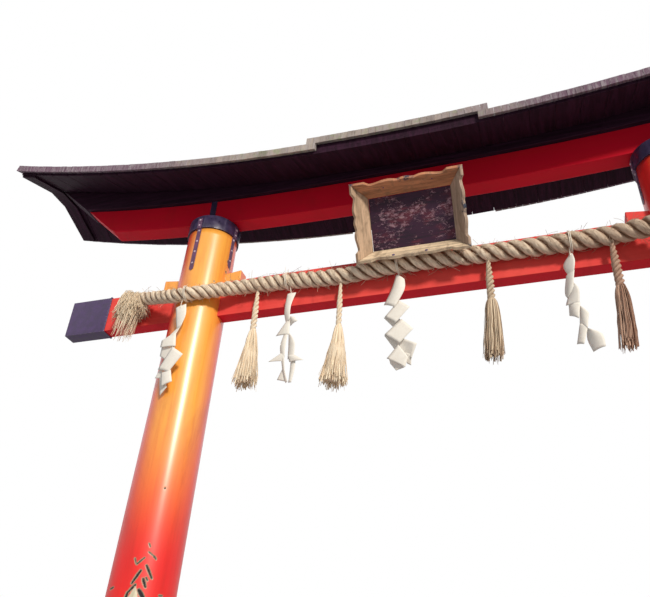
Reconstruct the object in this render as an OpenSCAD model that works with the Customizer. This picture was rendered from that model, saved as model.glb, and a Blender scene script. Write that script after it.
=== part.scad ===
// Torii gate: two leaning round pillars through which a straight tie beam runs,
// an upswept lintel and top beam, and a three-section board roof above them.
// Millimetres. X runs along the beams, the front faces -Y, the ground is at Z = 0
// and the origin lies on the ground midway between the pillars.

/* [Pillars] */
// Distance between the pillar centres at the ground
pillar_spacing = 3030; // [2700:10:3600]
// Diameter of a pillar at the ground
pillar_base_d = 376; // [340:2:420]
// Diameter of a pillar under its head ring
pillar_top_d = 326; // [290:2:336]
// Height of the underside of the head ring
pillar_h = 4405; // [4300:5:4425]
// Inward lean of each pillar in degrees
pillar_lean = 1.24; // [0.6:0.02:1.8]

/* [Base] */
// Diameter of a base stone
stone_d = 860; // [760:10:860]
// Height of a base stone
stone_h = 240; // [160:10:320]
// Radius of a base stone's rounded shoulder
stone_round = 150; // [80:10:150]
// Height of the black wrap round a pillar's foot
wrap_h = 520; // [300:10:800]
// Thickness of the foot wrap
wrap_t = 10; // [4:1:14]

/* [Tie beam] */
// Height of the tie beam's underside
tie_z = 3770; // [3700:5:3800]
// Height of the tie beam's section
tie_h = 256; // [230:2:270]
// Thickness of the tie beam, front to back
tie_t = 87; // [70:1:120]
// Length of the tie beam between its end caps' faces
tie_len = 4772; // [4500:4:5000]
// Length of the metal cap over each end of the tie beam
cap_len = 303; // [200:1:400]
// Thickness of the cap's sheet metal
cap_t = 3; // [2:0.5:5]
// Width of the folded lip at the cap's open edge
cap_lip = 12; // [6:1:20]
// Reach of a wedge beyond the pillar's face
wedge_out = 113; // [80:1:130]
// Height of a wedge at its thick outer end
wedge_high = 80; // [70:1:90]
// Height of a wedge at its thin end inside the pillar
wedge_low = 44; // [30:1:56]
// Side clearance of the beam and wedges in their mortise
mortise_fit = 0.5; // [0.3:0.1:0.8]

/* [Head ring] */
// Diameter of the ring between pillar and lintel
ring_d = 346; // [340:1:370]
// Height of the ring, from the pillar's head to the lintel's underside at the middle
ring_h = 80; // [65:1:190]
// Width of the riveted straps that run down from the ring
strap_w = 32; // [24:1:44]
// Thickness of a strap
strap_t = 4; // [3:0.5:6]
// Length of the front and back straps below the ring
strap_drop = 343; // [200:1:380]
// Length of the side straps below the ring
side_strap_drop = 250; // [150:1:260]
// Turn of the straps about the pillar in degrees, away from straight ahead
strap_turn = 6; // [0:0.5:10]
// Height and depth of the ring's bevelled upper edge
ring_bevel = 20; // [8:1:26]

/* [Lintel] */
// Height of the lintel's section
lintel_h = 203; // [170:1:240]
// Thickness of the lintel, front to back
lintel_t = 112; // [90:1:150]
// Length of the lintel along its underside
lintel_len = 4440; // [4200:10:4500]
// How far the ends of the lintel sweep up
lintel_rise = 127; // [90:1:170]
// How late the lintel's curve starts; a higher number is flatter at the middle
lintel_curve = 2.64; // [2.2:0.02:3]
// Reach of the slanted end beyond the underside's end
lintel_slant = 270; // [150:5:300]
// Width of the metal strap over the lintel above each pillar
lintel_strap_w = 44; // [34:1:90]

/* [Top beam and roof] */
// Thickness of the top beam, front to back
top_t = 170; // [130:2:240]
// Height of the top beam at the middle
top_h = 54; // [44:0.2:100]
// Reach of the top beam's slanted end
top_slant = 260; // [150:5:290]
// Depth of the roof, front edge to back edge
roof_w = 860; // [860:10:1000]
// Length of the roof
roof_len = 5850; // [5820:10:6200]
// Slope of the roof in degrees
roof_pitch = 20; // [16:0.5:28]
// Thickness of the roof boards at the eave
roof_t = 50; // [35:1:70]
// How far the ends of the roof sweep up
roof_rise = 400; // [360:5:440]
// How late the roof's curve starts; a higher number is flatter at the middle
roof_curve = 2.1; // [2:0.05:2.4]
// Length of the raised middle roof
middle_len = 1120; // [800:10:1600]
// How far the middle roof laps over each side roof
middle_lap = 60; // [30:5:120]
// Sideways offset of the middle roof
middle_shift = -60; // [-80:5:80]
// Thickness of the dark boards under the eaves
eave_t = 24; // [16:1:30]
// How far the eave boards stand back from the roof's edge
eave_back = 30; // [15:1:60]
// Width of the board along each end of the eaves
verge_w = 120; // [80:5:120]
// Thickness of that end board
verge_t = 18; // [10:1:24]
// Clearance of that end board to the roof's end and to the top beam's end
verge_gap = 5; // [2:1:10]
// Width of the ridge cap
ridge_w = 180; // [120:5:260]
// Thickness of the ridge cap
ridge_t = 34; // [20:1:60]

/* [Plaque] */
// Width of the plaque between the inner edges of its frame's rim
plaque_w = 628; // [560:2:680]
// Height of the plaque between the inner edges of its frame's rim
plaque_h = 444; // [400:2:460]
// Width of the plaque's sunk panel
panel_w = 482; // [420:2:500]
// Height of the plaque's sunk panel
panel_h = 316; // [280:2:330]
// Depth of the panel behind the frame's rim
panel_sunk = 102; // [70:1:110]
// Thickness of the panel
panel_t = 24; // [15:1:35]
// Thickness of the frame's boards
frame_t = 20; // [14:1:24]
// Depth of the notch beside each ear of the frame's rim
rim_notch = 22; // [10:1:26]
// Forward lean of the plaque in degrees
plaque_tilt = 26.7; // [22:0.1:30]
// Height of the middle of the plaque's rim
plaque_z = 4092; // [4080:1:4120]
// Distance of the middle of the rim in front of the gate's centre line
plaque_y = 322; // [318:1:326]
// Width of the strut behind the plaque
strut_w = 150; // [110:5:200]
// Thickness of the strut
strut_t = 96; // [70:1:110]

/* [Rope and pendants] */
// Reach of the rope's ends beyond the pillars' centres
rope_over = 357; // [300:1:400]
// Length of the rope's bend between a pillar's front and the beam's front
rope_bend = 340; // [280:5:400]
// Radius of the frayed tuft at each end of the rope
tuft_r = 52; // [46:1:54]
// Drop of that tuft below the rope's middle
tuft_drop = 230; // [180:5:260]
// Length of a straw tassel below the rope
tassel_len = 614; // [450:2:640]
// Length of a tassel's twisted neck
tassel_neck = 202; // [120:2:240]
// Diameter of a tassel's neck
neck_d = 30; // [22:1:40]
// Diameter of a tassel's skirt at its lower edge
skirt_d = 156; // [100:2:170]
// Length of a folded paper streamer
shide_len = 620; // [450:5:640]
// Width of a streamer's folded squares, corner to corner
shide_w = 156; // [120:2:170]
// Length of the plain strip at a streamer's top
shide_strip = 114; // [60:2:140]
// Thickness of a streamer
shide_t = 3; // [2:0.5:5]
// Clearance of what hangs on the rope, and of the rope at the pillars
hang_gap = 0.3; // [0.2:0.1:0.5]

/* [Hidden] */
$fn = 64;

LEFT = -1;
RIGHT = 1;
vermilion = "orangered";
iron = "darkslategray";
black = "#241c24";
straw = "burlywood";
paper = "ivory";
weathered = "tan";

pillar_len = pillar_h / cos(pillar_lean);
lintel_z = pillar_h + ring_h;
tie_top = tie_z + tie_h;
ring_r = ring_d / 2;
eave_y = roof_w / 2;
deck_y = eave_y - eave_back;
deck_half = roof_len / 2 - eave_back;
verge_outer = deck_half - verge_gap;
top_beam_half = verge_outer - verge_w - verge_gap - top_slant;
slope = tan(roof_pitch);

// Radius of a pillar at a distance along its own axis
function pillar_r(along) = (pillar_base_d - (pillar_base_d - pillar_top_d) * along / pillar_len) / 2;
// Where a pillar's axis stands at a height
function axis_x(z) = pillar_spacing / 2 - z * tan(pillar_lean);
// Upward sweep at a distance from the middle, in short straight runs, so that
// pieces that end at different places still lie flush on one another
step = 150;
function swept(x, rise, half, curve) =
    let (near = step * floor(abs(x) / step), share = (abs(x) - near) / step)
    rise * ((1 - share) * pow(near / half, curve) + share * pow((near + step) / half, curve));
function lintel_lift(x) = swept(x, lintel_rise, lintel_len / 2, lintel_curve);
function roof_lift(x) = swept(x, roof_rise, roof_len / 2, roof_curve);
// Height of the roof's lower surface above the eave's edge, pitched and where it lies
// flat on the top beam
function roof_under(y) = slope * (eave_y - abs(y));
function roof_seat(y) = roof_under(max(abs(y), top_t / 2));
roof_z = lintel_z + lintel_h + top_h + eave_t - roof_seat(0);

// Places along the beams from one end to the other, with every full step between
function places(from, to) = concat([from],
    [for (i = [ceil((from + 1) / step) : floor((to - 1) / step)]) i * step], [to]);

// Carries its children in the frame of a leaning pillar, with Z along its axis
module on_pillar(side)
    translate([side * pillar_spacing / 2, 0, 0]) rotate([0, -side * pillar_lean, 0]) children();

// A plate standing in the XZ plane, with the given outline and thickness
module upright(thickness)
    rotate([90, 0, 0]) linear_extrude(height = thickness, center = true) children();

// A length of roof: one section of [y, lower z, upper z] from front to back,
// repeated at every place along the beams and lifted with the roof's curve
module roof_run(xs, section) {
    n = len(section);
    ring = 2 * n;
    last = (len(xs) - 1) * ring;
    polyhedron(
        points = [for (x = xs) for (k = [0 : ring - 1])
            let (p = section[min(k, ring - 1 - k)])
            [x, p[0], roof_z + roof_lift(x) + p[k < n ? 1 : 2]]],
        faces = concat(
            [for (j = [0 : n - 2]) [j, j + 1, ring - 2 - j, ring - 1 - j]],
            [for (j = [0 : n - 2]) [last + ring - 1 - j, last + ring - 2 - j, last + j + 1, last + j]],
            [for (i = [0 : len(xs) - 2]) for (j = [0 : ring - 1])
                [i * ring + j, (i + 1) * ring + j, (i + 1) * ring + (j + 1) % ring,
                    i * ring + (j + 1) % ring]]));
}

// Base: a drum of stone with a rounded shoulder, and the wrap round the pillar's foot
module base_stone(side) color("gray")
    translate([side * axis_x(stone_h), 0, 0]) rotate_extrude() intersection() {
        square([stone_d / 2, stone_h]);
        union() {
            square([stone_d / 2 - stone_round, stone_h]);
            square([stone_d / 2, stone_h - stone_round]);
            translate([stone_d / 2 - stone_round, stone_h - stone_round]) circle(r = stone_round);
        }
    }

module foot_wrap(side) color(black) difference() {
    on_pillar(side) difference() {
        cylinder(h = stone_h + wrap_h, r1 = pillar_r(0) + wrap_t,
            r2 = pillar_r(stone_h + wrap_h) + wrap_t);
        translate([0, 0, -1]) cylinder(h = stone_h + wrap_h + 2, r1 = pillar_r(-1) + hang_gap,
            r2 = pillar_r(stone_h + wrap_h + 1) + hang_gap);
    }
    below_stone_top(side);
}

module below_stone_top(side)
    translate([side * pillar_spacing / 2 - stone_d / 2, -stone_d / 2, -stone_d])
        cube([stone_d, stone_d, stone_d + stone_h]);

// Pillar: a tapered round post with a mortise for the tie beam and its wedges
module pillar(side) color(vermilion) difference() {
    on_pillar(side) cylinder(h = pillar_len, d1 = pillar_base_d, d2 = pillar_top_d, $fn = 96);
    below_stone_top(side);
    translate([side * axis_x(tie_z), 0, tie_z + tie_h / 2])
        cube([2 * pillar_base_d, tie_t + 2 * mortise_fit, tie_h], center = true);
    upright(tie_t + 2 * mortise_fit) for (way = [-1, 1]) wedge_outline(side, way, pillar_base_d);
}

// Side view of a wedge driven in over the tie beam; way is +1 on the gate's outer side
wedge_x = axis_x(tie_top);
wedge_reach = pillar_top_d / 2 + wedge_out;
wedge_fall = (wedge_high - wedge_low) / wedge_reach;
module wedge_outline(side, way, reach) {
    near = side * (wedge_x + way * 4);
    far = side * (wedge_x + way * reach);
    high = wedge_low + wedge_fall * reach;
    polygon([[near, tie_top], [far, tie_top], [far, tie_top + high], [near, tie_top + wedge_low]]);
}

module wedges(side) color(vermilion)
    upright(tie_t - 8) for (way = [-1, 1]) wedge_outline(side, way, wedge_reach);

// Tie beam: straight, through both pillars, its ends sheathed in sheet metal
module tie_beam() color(vermilion)
    translate([-tie_len / 2, -tie_t / 2, tie_z]) cube([tie_len, tie_t, tie_h]);

module tie_cap(side) color(iron) mirror([side < 0 ? 1 : 0, 0, 0])
    translate([tie_len / 2 + cap_t - cap_len, 0, tie_z + tie_h / 2]) difference() {
        union() {
            translate([0, -tie_t / 2 - cap_t, -tie_h / 2 - cap_t])
                cube([cap_len, tie_t + 2 * cap_t, tie_h + 2 * cap_t]);
            translate([0, -tie_t / 2 - 2 * cap_t, -tie_h / 2 - 2 * cap_t])
                cube([cap_lip, tie_t + 4 * cap_t, tie_h + 4 * cap_t]);
        }
        translate([-1, -tie_t / 2, -tie_h / 2]) cube([cap_len - cap_t + 1, tie_t, tie_h]);
    }

// Head ring: a disc on the pillar's head, bevelled above, its top cut to the lintel's underside
module over_lintel_underside() upright(roof_w) {
    xs = places(-lintel_len / 2, lintel_len / 2);
    polygon(concat([for (x = xs) [x, lintel_z + lintel_lift(x)]],
        [[lintel_len / 2, lintel_z + 3 * lintel_h], [-lintel_len / 2, lintel_z + 3 * lintel_h]]));
}

module pillar_ring(side) color(iron) difference() {
    top = ring_h + lintel_lift(axis_x(lintel_z));
    on_pillar(side) translate([0, 0, pillar_len]) rotate_extrude($fn = 96)
        polygon([[0, 0], [ring_r, 0], [ring_r, top - ring_bevel], [ring_r - ring_bevel, top],
            [ring_r - ring_bevel, top + lintel_h], [0, top + lintel_h]]);
    over_lintel_underside();
}

// Side view of a strap: down the ring, a step in under it, then down the pillar
module strap_outline(drop) {
    low = pillar_len - drop;
    polygon([
        [ring_r, pillar_len + ring_h - 2], [ring_r, pillar_len],
        [pillar_r(pillar_len), pillar_len], [pillar_r(low), low],
        [pillar_r(low) + strap_t, low], [pillar_r(pillar_len) + strap_t, pillar_len - 2 * strap_t],
        [ring_r + strap_t, pillar_len - strap_t], [ring_r + strap_t, pillar_len + ring_h - 2]
    ]);
}

// Front view of a strap, with its pointed lower end
module strap_front(drop)
    polygon([[-strap_w / 2, pillar_len + ring_h], [-strap_w / 2, pillar_len - drop + strap_w / 2],
        [0, pillar_len - drop], [strap_w / 2, pillar_len - drop + strap_w / 2],
        [strap_w / 2, pillar_len + ring_h]]);

module ring_straps(side) color(iron) on_pillar(side) for (turn = [0 : 3]) {
    drop = turn % 2 == 1 ? strap_drop : side_strap_drop;
    rotate([0, 0, 90 * turn + side * strap_turn]) intersection() {
        upright(strap_w) strap_outline(drop);
        translate([ring_r, 0, 0]) rotate([0, 0, 90]) upright(ring_d) strap_front(drop);
    }
}

// Strut between tie beam and lintel, behind the plaque
module strut() color(vermilion) translate([-strut_w / 2, -strut_t / 2, tie_top])
    cube([strut_w, strut_t, lintel_z - tie_top]);

// Lintel: level at the middle, swept up at both ends, with slanted ends
lintel_top_xs = places(-lintel_len / 2 - lintel_slant, lintel_len / 2 + lintel_slant);
module lintel() color(vermilion) upright(lintel_t) {
    under = places(-lintel_len / 2, lintel_len / 2);
    last = len(lintel_top_xs) - 1;
    polygon(concat([for (x = under) [x, lintel_z + lintel_lift(x)]],
        [for (i = [last : -1 : 0]) [lintel_top_xs[i],
            lintel_z + lintel_h + lintel_lift(lintel_top_xs[i])]]));
}

// Metal straps on both faces of the lintel, in line with the pillars
module lintel_straps() color(iron) for (side = [LEFT, RIGHT]) for (face = [-1, 1]) {
    mid = side * (axis_x(lintel_z) + 10);
    a = mid - lintel_strap_w / 2;
    b = mid + lintel_strap_w / 2;
    translate([0, face * (lintel_t + strap_t) / 2, 0]) upright(strap_t)
        polygon([[a, lintel_z + lintel_lift(a) + 1], [b, lintel_z + lintel_lift(b) + 1],
            [b, lintel_z + lintel_h + lintel_lift(b) - 1],
            [a, lintel_z + lintel_h + lintel_lift(a) - 1]]);
}

// Top beam: its underside follows the lintel and its top follows the roof,
// so that it grows taller towards its slanted ends
module top_beam() color(black) upright(top_t) {
    under = places(-top_beam_half, top_beam_half);
    over = places(-top_beam_half - top_slant, top_beam_half + top_slant);
    last = len(over) - 1;
    seat = lintel_z + lintel_h + top_h;
    polygon(concat([for (x = under) [x, lintel_z + lintel_h + lintel_lift(x)]],
        [for (i = [last : -1 : 0]) [over[i], seat + roof_lift(over[i])]]));
}

// Dark boards under the eaves, flat over the top beam and sloping to both edges
function across(reach) = [-reach, -top_t / 2, 0, top_t / 2, reach];
function board_section(reach, top, thickness) =
    [for (y = across(reach)) [y, roof_seat(y) + top - thickness, roof_seat(y) + top]];

module eave_boards() color(black)
    roof_run(places(-deck_half, deck_half), board_section(deck_y, 0, eave_t));

module verge_board(side) color(black) roof_run(
    side > 0 ? places(verge_outer - verge_w, verge_outer) : places(-verge_outer, verge_w - verge_outer),
    board_section(deck_y - 2 * verge_gap, -eave_t, verge_t));

// Roof sections: the middle one rides one thickness higher and laps over the side ones
middle_left = middle_shift - middle_len / 2;
middle_right = middle_shift + middle_len / 2;
function lower_section(reach) = [for (y = across(reach)) [y, roof_seat(y), roof_under(y) + roof_t]];
function upper_section(ys, bottom, thickness) =
    [for (y = ys) [y, roof_under(y) + bottom, roof_under(y) + bottom + thickness]];

module roof_left() color("silver")
    roof_run(places(-roof_len / 2, middle_left + middle_lap), lower_section(eave_y));

module roof_right() color("silver")
    roof_run(places(middle_right - middle_lap, roof_len / 2), lower_section(eave_y));

module roof_middle() color("silver")
    roof_run(places(middle_left, middle_right), upper_section(across(eave_y), roof_t, roof_t));

// Black boards that fill the step under the middle roof
module roof_packing() color(black)
    roof_run(places(middle_left + middle_lap, middle_right - middle_lap), lower_section(deck_y));

// Ridge cap in three lengths, stepped like the roof
module ridge_cap() color(black) {
    half = roof_len / 2;
    ys = [-ridge_w / 2, 0, ridge_w / 2];
    roof_run(places(-half, middle_left), upper_section(ys, roof_t, ridge_t));
    roof_run(places(middle_left + 2, middle_right - 2), upper_section(ys, 2 * roof_t, ridge_t));
    roof_run(places(middle_right, half), upper_section(ys, roof_t, ridge_t));
}

// Plaque: a sunk panel in a splayed frame of four mitred boards with wavy rims.
// Its own frame has X across, Y up the panel and Z out of its face.
module on_plaque()
    translate([0, -plaque_y, plaque_z]) rotate([90 + plaque_tilt, 0, 0]) children();

module plaque_panel() color("#4a3038") on_plaque()
    translate([-panel_w / 2, -panel_h / 2, -panel_sunk - panel_t]) cube([panel_w, panel_h, panel_t]);

// Wavy rim of a frame board, from its middle at 0 to its end at 1: a low middle swell,
// a dip, a long swell that falls to the notch, and the ear
function wave(t) = let (a = abs(t)) -rim_notch * (
    a > 0.7 ? 0 : a > 0.62 ? (0.7 - a) / 0.08
    : a > 0.3 ? 0.27 + 0.365 * (1 - cos(180 * (a - 0.3) / 0.32))
    : a > 0.16 ? 0.27 + 0.45 * pow((0.3 - a) / 0.14, 2)
    : 0.32 + 0.2 * (1 - cos(180 * a / 0.16)));
module frame_face(length, width) {
    count = 80;
    polygon(concat([[-length / 2, 0], [length / 2, 0]],
        [for (i = [count : -1 : 0]) let (t = 2 * i / count - 1)
            [t * length / 2, width + wave(t)]]));
}

// One frame board: its inner edge meets the panel, and its mitred ends its neighbours.
// across is the panel's size along the board, out is its half size towards the board.
module frame_board(across, out, rim_across, rim_out) {
    lean = atan2(panel_sunk, rim_out - out);
    width = norm([panel_sunk, rim_out - out]);
    intersection() {
        translate([0, out, -panel_sunk]) rotate([lean, 0, 0]) translate([0, 0, -frame_t])
            linear_extrude(height = frame_t) frame_face(rim_across + 60, width);
        translate([0, 0, -2 * panel_sunk]) linear_extrude(height = 3 * panel_sunk)
            polygon([[-across / 2 + 0.1, out], [across / 2 - 0.1, out],
                [across / 2 - 0.1 + (rim_across - across), out + 2 * (rim_out - out)],
                [-across / 2 + 0.1 - (rim_across - across), out + 2 * (rim_out - out)]]);
    }
}

module plaque_frame_long(way) color(weathered) on_plaque() rotate([0, 0, way > 0 ? 0 : 180])
    frame_board(panel_w, panel_h / 2, plaque_w, plaque_h / 2);

module plaque_frame_side(side) color(weathered) on_plaque() rotate([0, 0, -90 * side])
    frame_board(panel_h, panel_w / 2, plaque_h, plaque_w / 2);

// Iron rods from the strut that hold the plaque at its foot and near its top
module plaque_hooks() color(iron) intersection() {
    union() for (spot = [[-45, -1], [45, -1], [0, 1]])
        translate([spot[0], -strut_t / 2, plaque_z + (panel_sunk + panel_t) * sin(plaque_tilt)
            + spot[1] * 0.35 * panel_h * cos(plaque_tilt)])
            rotate([90, 0, 0]) cylinder(h = plaque_y, d = 16);
    on_plaque() translate([-plaque_w, -plaque_h, -panel_sunk - panel_t - 2 * plaque_y])
        cube([2 * plaque_w, 2 * plaque_h, 2 * plaque_y]);
}

// Straw rope, thin at the left: it lies on the tie beam's front, bows out round the front
// of both pillars, and its ends stand free: [x, height over the beam's underside, radius]
rope_post = axis_x(tie_z);
rope_wrap = 0.54 * pillar_r(tie_z);
rope_free = 0.61 * rope_wrap;
rope_end = rope_post + rope_over;
rope_in = rope_post - rope_wrap;
rope_route = [
    [-rope_end, 155, 44], [-rope_post - 0.6 * rope_over, 119, 44],
    [-rope_post - 0.3 * rope_over, 93, 44], [-rope_post - rope_free, 81, 44],
    [-rope_post - rope_free / 2, 77, 44], [-rope_post, 76, 44],
    [-rope_post + 0.33 * rope_wrap, 77, 44], [-rope_post + 0.67 * rope_wrap, 81, 44],
    [-rope_in, 88, 45], [-rope_in + 0.27 * rope_bend, 117, 46],
    [-rope_in + 0.53 * rope_bend, 141, 47], [-rope_in + 0.8 * rope_bend, 154, 48],
    [-rope_in + rope_bend, 157, 49], [-0.523 * rope_post, 147, 50], [-0.405 * rope_post, 134, 51],
    [-0.286 * rope_post, 131, 51], [-0.181 * rope_post, 144, 52], [-0.077 * rope_post, 154, 52],
    [0.133 * rope_post, 149, 53], [0.335 * rope_post, 143, 54], [0.495 * rope_post, 139, 55],
    [rope_in - rope_bend, 141, 56], [rope_in - 0.8 * rope_bend, 140, 56],
    [rope_in - 0.53 * rope_bend, 135, 56], [rope_in - 0.27 * rope_bend, 119, 56],
    [rope_in, 93, 55], [rope_post - 0.67 * rope_wrap, 87, 55],
    [rope_post - 0.33 * rope_wrap, 83, 55], [rope_post, 82, 55],
    [rope_post + rope_free / 2, 84, 55], [rope_post + rope_free, 88, 55],
    [rope_post + 0.3 * rope_over, 100, 55], [rope_post + 0.6 * rope_over, 124, 55],
    [rope_end, 156, 55]
];
rope_sides = 12;
function rope_z(x) = tie_z + lookup(x, [for (p = rope_route) [p[0], p[1]]]);
function rope_r(x) = lookup(x, [for (p = rope_route) [p[0], p[2]]]);
// How far in front of the gate's centre line the rope's middle runs: round in front of a
// pillar, straight outwards from there, and inwards in an easy bend back to the beam
function rope_y(x) = let (
        on_beam = tie_t / 2 + rope_r(x) + hang_gap,
        bow = pillar_r(tie_z) + rope_r(x) + 4 * hang_gap,
        off = abs(x) - rope_post, edge = min(max(off, -rope_wrap), rope_free),
        near = sqrt(bow * bow - edge * edge), fall = edge / near,
        t = min(1, (-rope_wrap - off) / rope_bend))
    off > rope_free ? max(on_beam, near - fall * (off - rope_free))
    : off > -rope_wrap ? near
    : near * (2 * pow(t, 3) - 3 * t * t + 1) + rope_bend * fall * (pow(t, 3) - 2 * t * t + t)
        + on_beam * (3 * t * t - 2 * pow(t, 3));

module rope() color(straw) {
    n = rope_sides;
    m = len(rope_route);
    polyhedron(
        points = [for (p = rope_route) for (j = [0 : n - 1])
            [p[0], p[2] * cos(360 * j / n) - rope_y(p[0]),
                tie_z + p[1] + p[2] * sin(360 * j / n)]],
        faces = concat(
            [[for (j = [0 : n - 1]) j]],
            [[for (j = [n - 1 : -1 : 0]) (m - 1) * n + j]],
            [for (i = [0 : m - 2]) for (j = [0 : n - 1])
                [i * n + j, (i + 1) * n + j, (i + 1) * n + (j + 1) % n, i * n + (j + 1) % n]]));
}

// Frayed end of the rope: straw that bursts out and droops
module rope_tuft(side) color(straw) hull() {
    end = side * rope_end;
    x = end + side * hang_gap;
    z = rope_z(end);
    y = rope_y(end);
    translate([x, -y, z]) rotate([0, side * 90, 0])
        cylinder(h = 10, r = rope_r(end), $fn = 24);
    translate([x + side * 75, -y, z + 20]) sphere(r = tuft_r, $fn = 24);
    translate([x + side * 95, -y, z - tuft_drop])
        cylinder(h = 60, r1 = 1.1 * tuft_r, r2 = tuft_r, $fn = 24);
}

// A tassel: a twisted neck under the rope and a flared skirt of straw
module tassel(x) color(straw)
    translate([x, -rope_y(x), rope_z(x) - rope_r(x) - hang_gap]) rotate_extrude($fn = 24) polygon([
        [0, 0], [neck_d / 2, 0], [neck_d / 2, -tassel_neck],
        [neck_d * 0.95, -tassel_neck - 28], [skirt_d * 0.27, -tassel_neck - 75],
        [skirt_d / 2, -tassel_len + 15], [skirt_d / 2 - 6, -tassel_len], [0, -tassel_len]]);

// A paper streamer: a plain strip, then four squares on their corners that overlap
shide_steps = 4;
module shide(x) color(paper)
    translate([x, -rope_y(x), rope_z(x) - rope_r(x) - hang_gap]) upright(shide_t) {
        first = shide_strip + shide_w * 0.3;
        pitch = (shide_len - first - shide_w / 2) / (shide_steps - 1);
        translate([-shide_w * 0.3, -first]) square([shide_w * 0.6, first]);
        for (i = [0 : shide_steps - 1])
            translate([(i % 2 == 0 ? -1 : 1) * shide_w * 0.08, -first - i * pitch])
                rotate(45) square(shide_w / sqrt(2), center = true);
    }

// Places of the pendants along the rope, left to right
tassel_xs = [-0.689, -0.3176, 0.2799, 0.7295] * rope_post;
shide_xs = [-0.983, -0.5506, -0.076, 0.588, 0.977] * rope_post;

base_stone(LEFT);  // base_stone_left
base_stone(RIGHT);  // base_stone_right
foot_wrap(LEFT);  // foot_wrap_left
foot_wrap(RIGHT);  // foot_wrap_right
pillar(LEFT);  // pillar_left
pillar(RIGHT);  // pillar_right
pillar_ring(LEFT);  // pillar_ring_left
pillar_ring(RIGHT);  // pillar_ring_right
ring_straps(LEFT);  // ring_straps_left
ring_straps(RIGHT);  // ring_straps_right
tie_beam();
tie_cap(LEFT);  // tie_cap_left
tie_cap(RIGHT);  // tie_cap_right
wedges(LEFT);  // wedges_left
wedges(RIGHT);  // wedges_right
strut();
lintel();
lintel_straps();
top_beam();
eave_boards();
verge_board(LEFT);  // verge_board_left
verge_board(RIGHT);  // verge_board_right
roof_packing();
roof_left();
roof_middle();
roof_right();
ridge_cap();
plaque_panel();
plaque_frame_long(1);  // plaque_frame_top
plaque_frame_long(-1);  // plaque_frame_bottom
plaque_frame_side(LEFT);  // plaque_frame_left
plaque_frame_side(RIGHT);  // plaque_frame_right
plaque_hooks();
rope();
rope_tuft(LEFT);  // rope_tuft_left
rope_tuft(RIGHT);  // rope_tuft_right
tassel(tassel_xs[0]);  // tassel_1
tassel(tassel_xs[1]);  // tassel_2
tassel(tassel_xs[2]);  // tassel_3
tassel(tassel_xs[3]);  // tassel_4
shide(shide_xs[0]);  // shide_1
shide(shide_xs[1]);  // shide_2
shide(shide_xs[2]);  // shide_3
shide(shide_xs[3]);  // shide_4
shide(shide_xs[4]);  // shide_5
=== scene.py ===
# A timber torii gate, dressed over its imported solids: painted pillars and beams, black iron
# and sheet metal, a board roof, a leaning plaque, and a straw rope with tassels and paper.
# Metres; X runs along the beams, the front faces -Y, the ground is at Z = 0.
from functools import partialmethod
from math import atan2, cos, pi, radians, sin, sqrt, tan

import bmesh
import bpy
from mathutils import Matrix, Vector, noise


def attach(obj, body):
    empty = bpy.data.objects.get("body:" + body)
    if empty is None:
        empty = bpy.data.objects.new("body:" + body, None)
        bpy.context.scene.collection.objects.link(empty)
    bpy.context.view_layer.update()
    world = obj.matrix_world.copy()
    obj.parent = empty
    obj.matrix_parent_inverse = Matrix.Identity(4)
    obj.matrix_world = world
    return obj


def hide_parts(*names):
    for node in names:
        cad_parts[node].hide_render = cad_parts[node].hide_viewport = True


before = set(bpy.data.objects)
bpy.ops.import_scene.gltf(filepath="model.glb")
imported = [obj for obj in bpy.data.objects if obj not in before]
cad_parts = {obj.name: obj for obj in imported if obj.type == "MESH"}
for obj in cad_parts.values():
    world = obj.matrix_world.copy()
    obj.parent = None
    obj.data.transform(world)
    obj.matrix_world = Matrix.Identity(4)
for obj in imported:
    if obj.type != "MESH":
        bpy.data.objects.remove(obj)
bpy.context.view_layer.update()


# Viewing place and light
# The eye is 1.5 m above the ground and 3.3 m in front of the gate, a little right of its middle,
# and looks up at the beams' left half. A low sun shines from the front right, and pale light
# comes from all round.
def shown(name, data):
    """Puts a mesh, lamp or camera into the scene."""
    thing = bpy.data.objects.new(name, data)
    bpy.context.scene.collection.objects.link(thing)
    return thing


eyes = bpy.data.cameras.new("camera")
eyes.sensor_fit = "HORIZONTAL"
eyes.sensor_width = 36.0
eyes.lens = 38.769
eyes.shift_x = -0.00959
eyes.shift_y = 0.01506
eyes.clip_end = 300.0
viewer = shown("camera", eyes)
look_right = Vector((0.95182369, 0.30248594, 0.05033799))
look_up = Vector((0.12316571, -0.52745149, 0.84060998))
look_ahead = Vector((-0.28082355, 0.79391258, 0.53929672))
eye_place = Vector((0.63085, -3.30750, 1.5))
viewer.matrix_world = (Matrix.Translation(eye_place)
                       @ Matrix((look_right, look_up, -look_ahead)).transposed().to_4x4())
bpy.context.scene.camera = viewer
bpy.context.scene.view_settings.view_transform = "Standard"

key = bpy.data.lights.new("key_light", "SUN")
key.energy = 3.0
key.angle = radians(9)
key.color = (1.0, 0.93, 0.82)
key_way = Vector((-0.560, 0.717, -0.415))
shown("key_light", key).rotation_euler = key_way.to_track_quat("-Z", "Y").to_euler()


class Flow:
    """What a step of a node tree hands on. Arithmetic on it adds a step to the same tree."""

    def __init__(self, socket):
        self.socket = socket
        self.tree = socket.id_data

    def __getitem__(self, name):
        """Something else that the same step hands on."""
        return Flow(self.socket.node.outputs[name])

    def worked(self, operation, *others):
        return work_out(operation, self, *others)

    def __rsub__(self, other):
        return work_out("SUBTRACT", other, self)

    __add__ = partialmethod(worked, "ADD")
    __sub__ = partialmethod(worked, "SUBTRACT")
    __mul__ = partialmethod(worked, "MULTIPLY")
    __truediv__ = partialmethod(worked, "DIVIDE")
    __pow__ = partialmethod(worked, "POWER")
    __neg__ = partialmethod(worked, "MULTIPLY", -1.0)
    __abs__ = partialmethod(worked, "ABSOLUTE")


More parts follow.
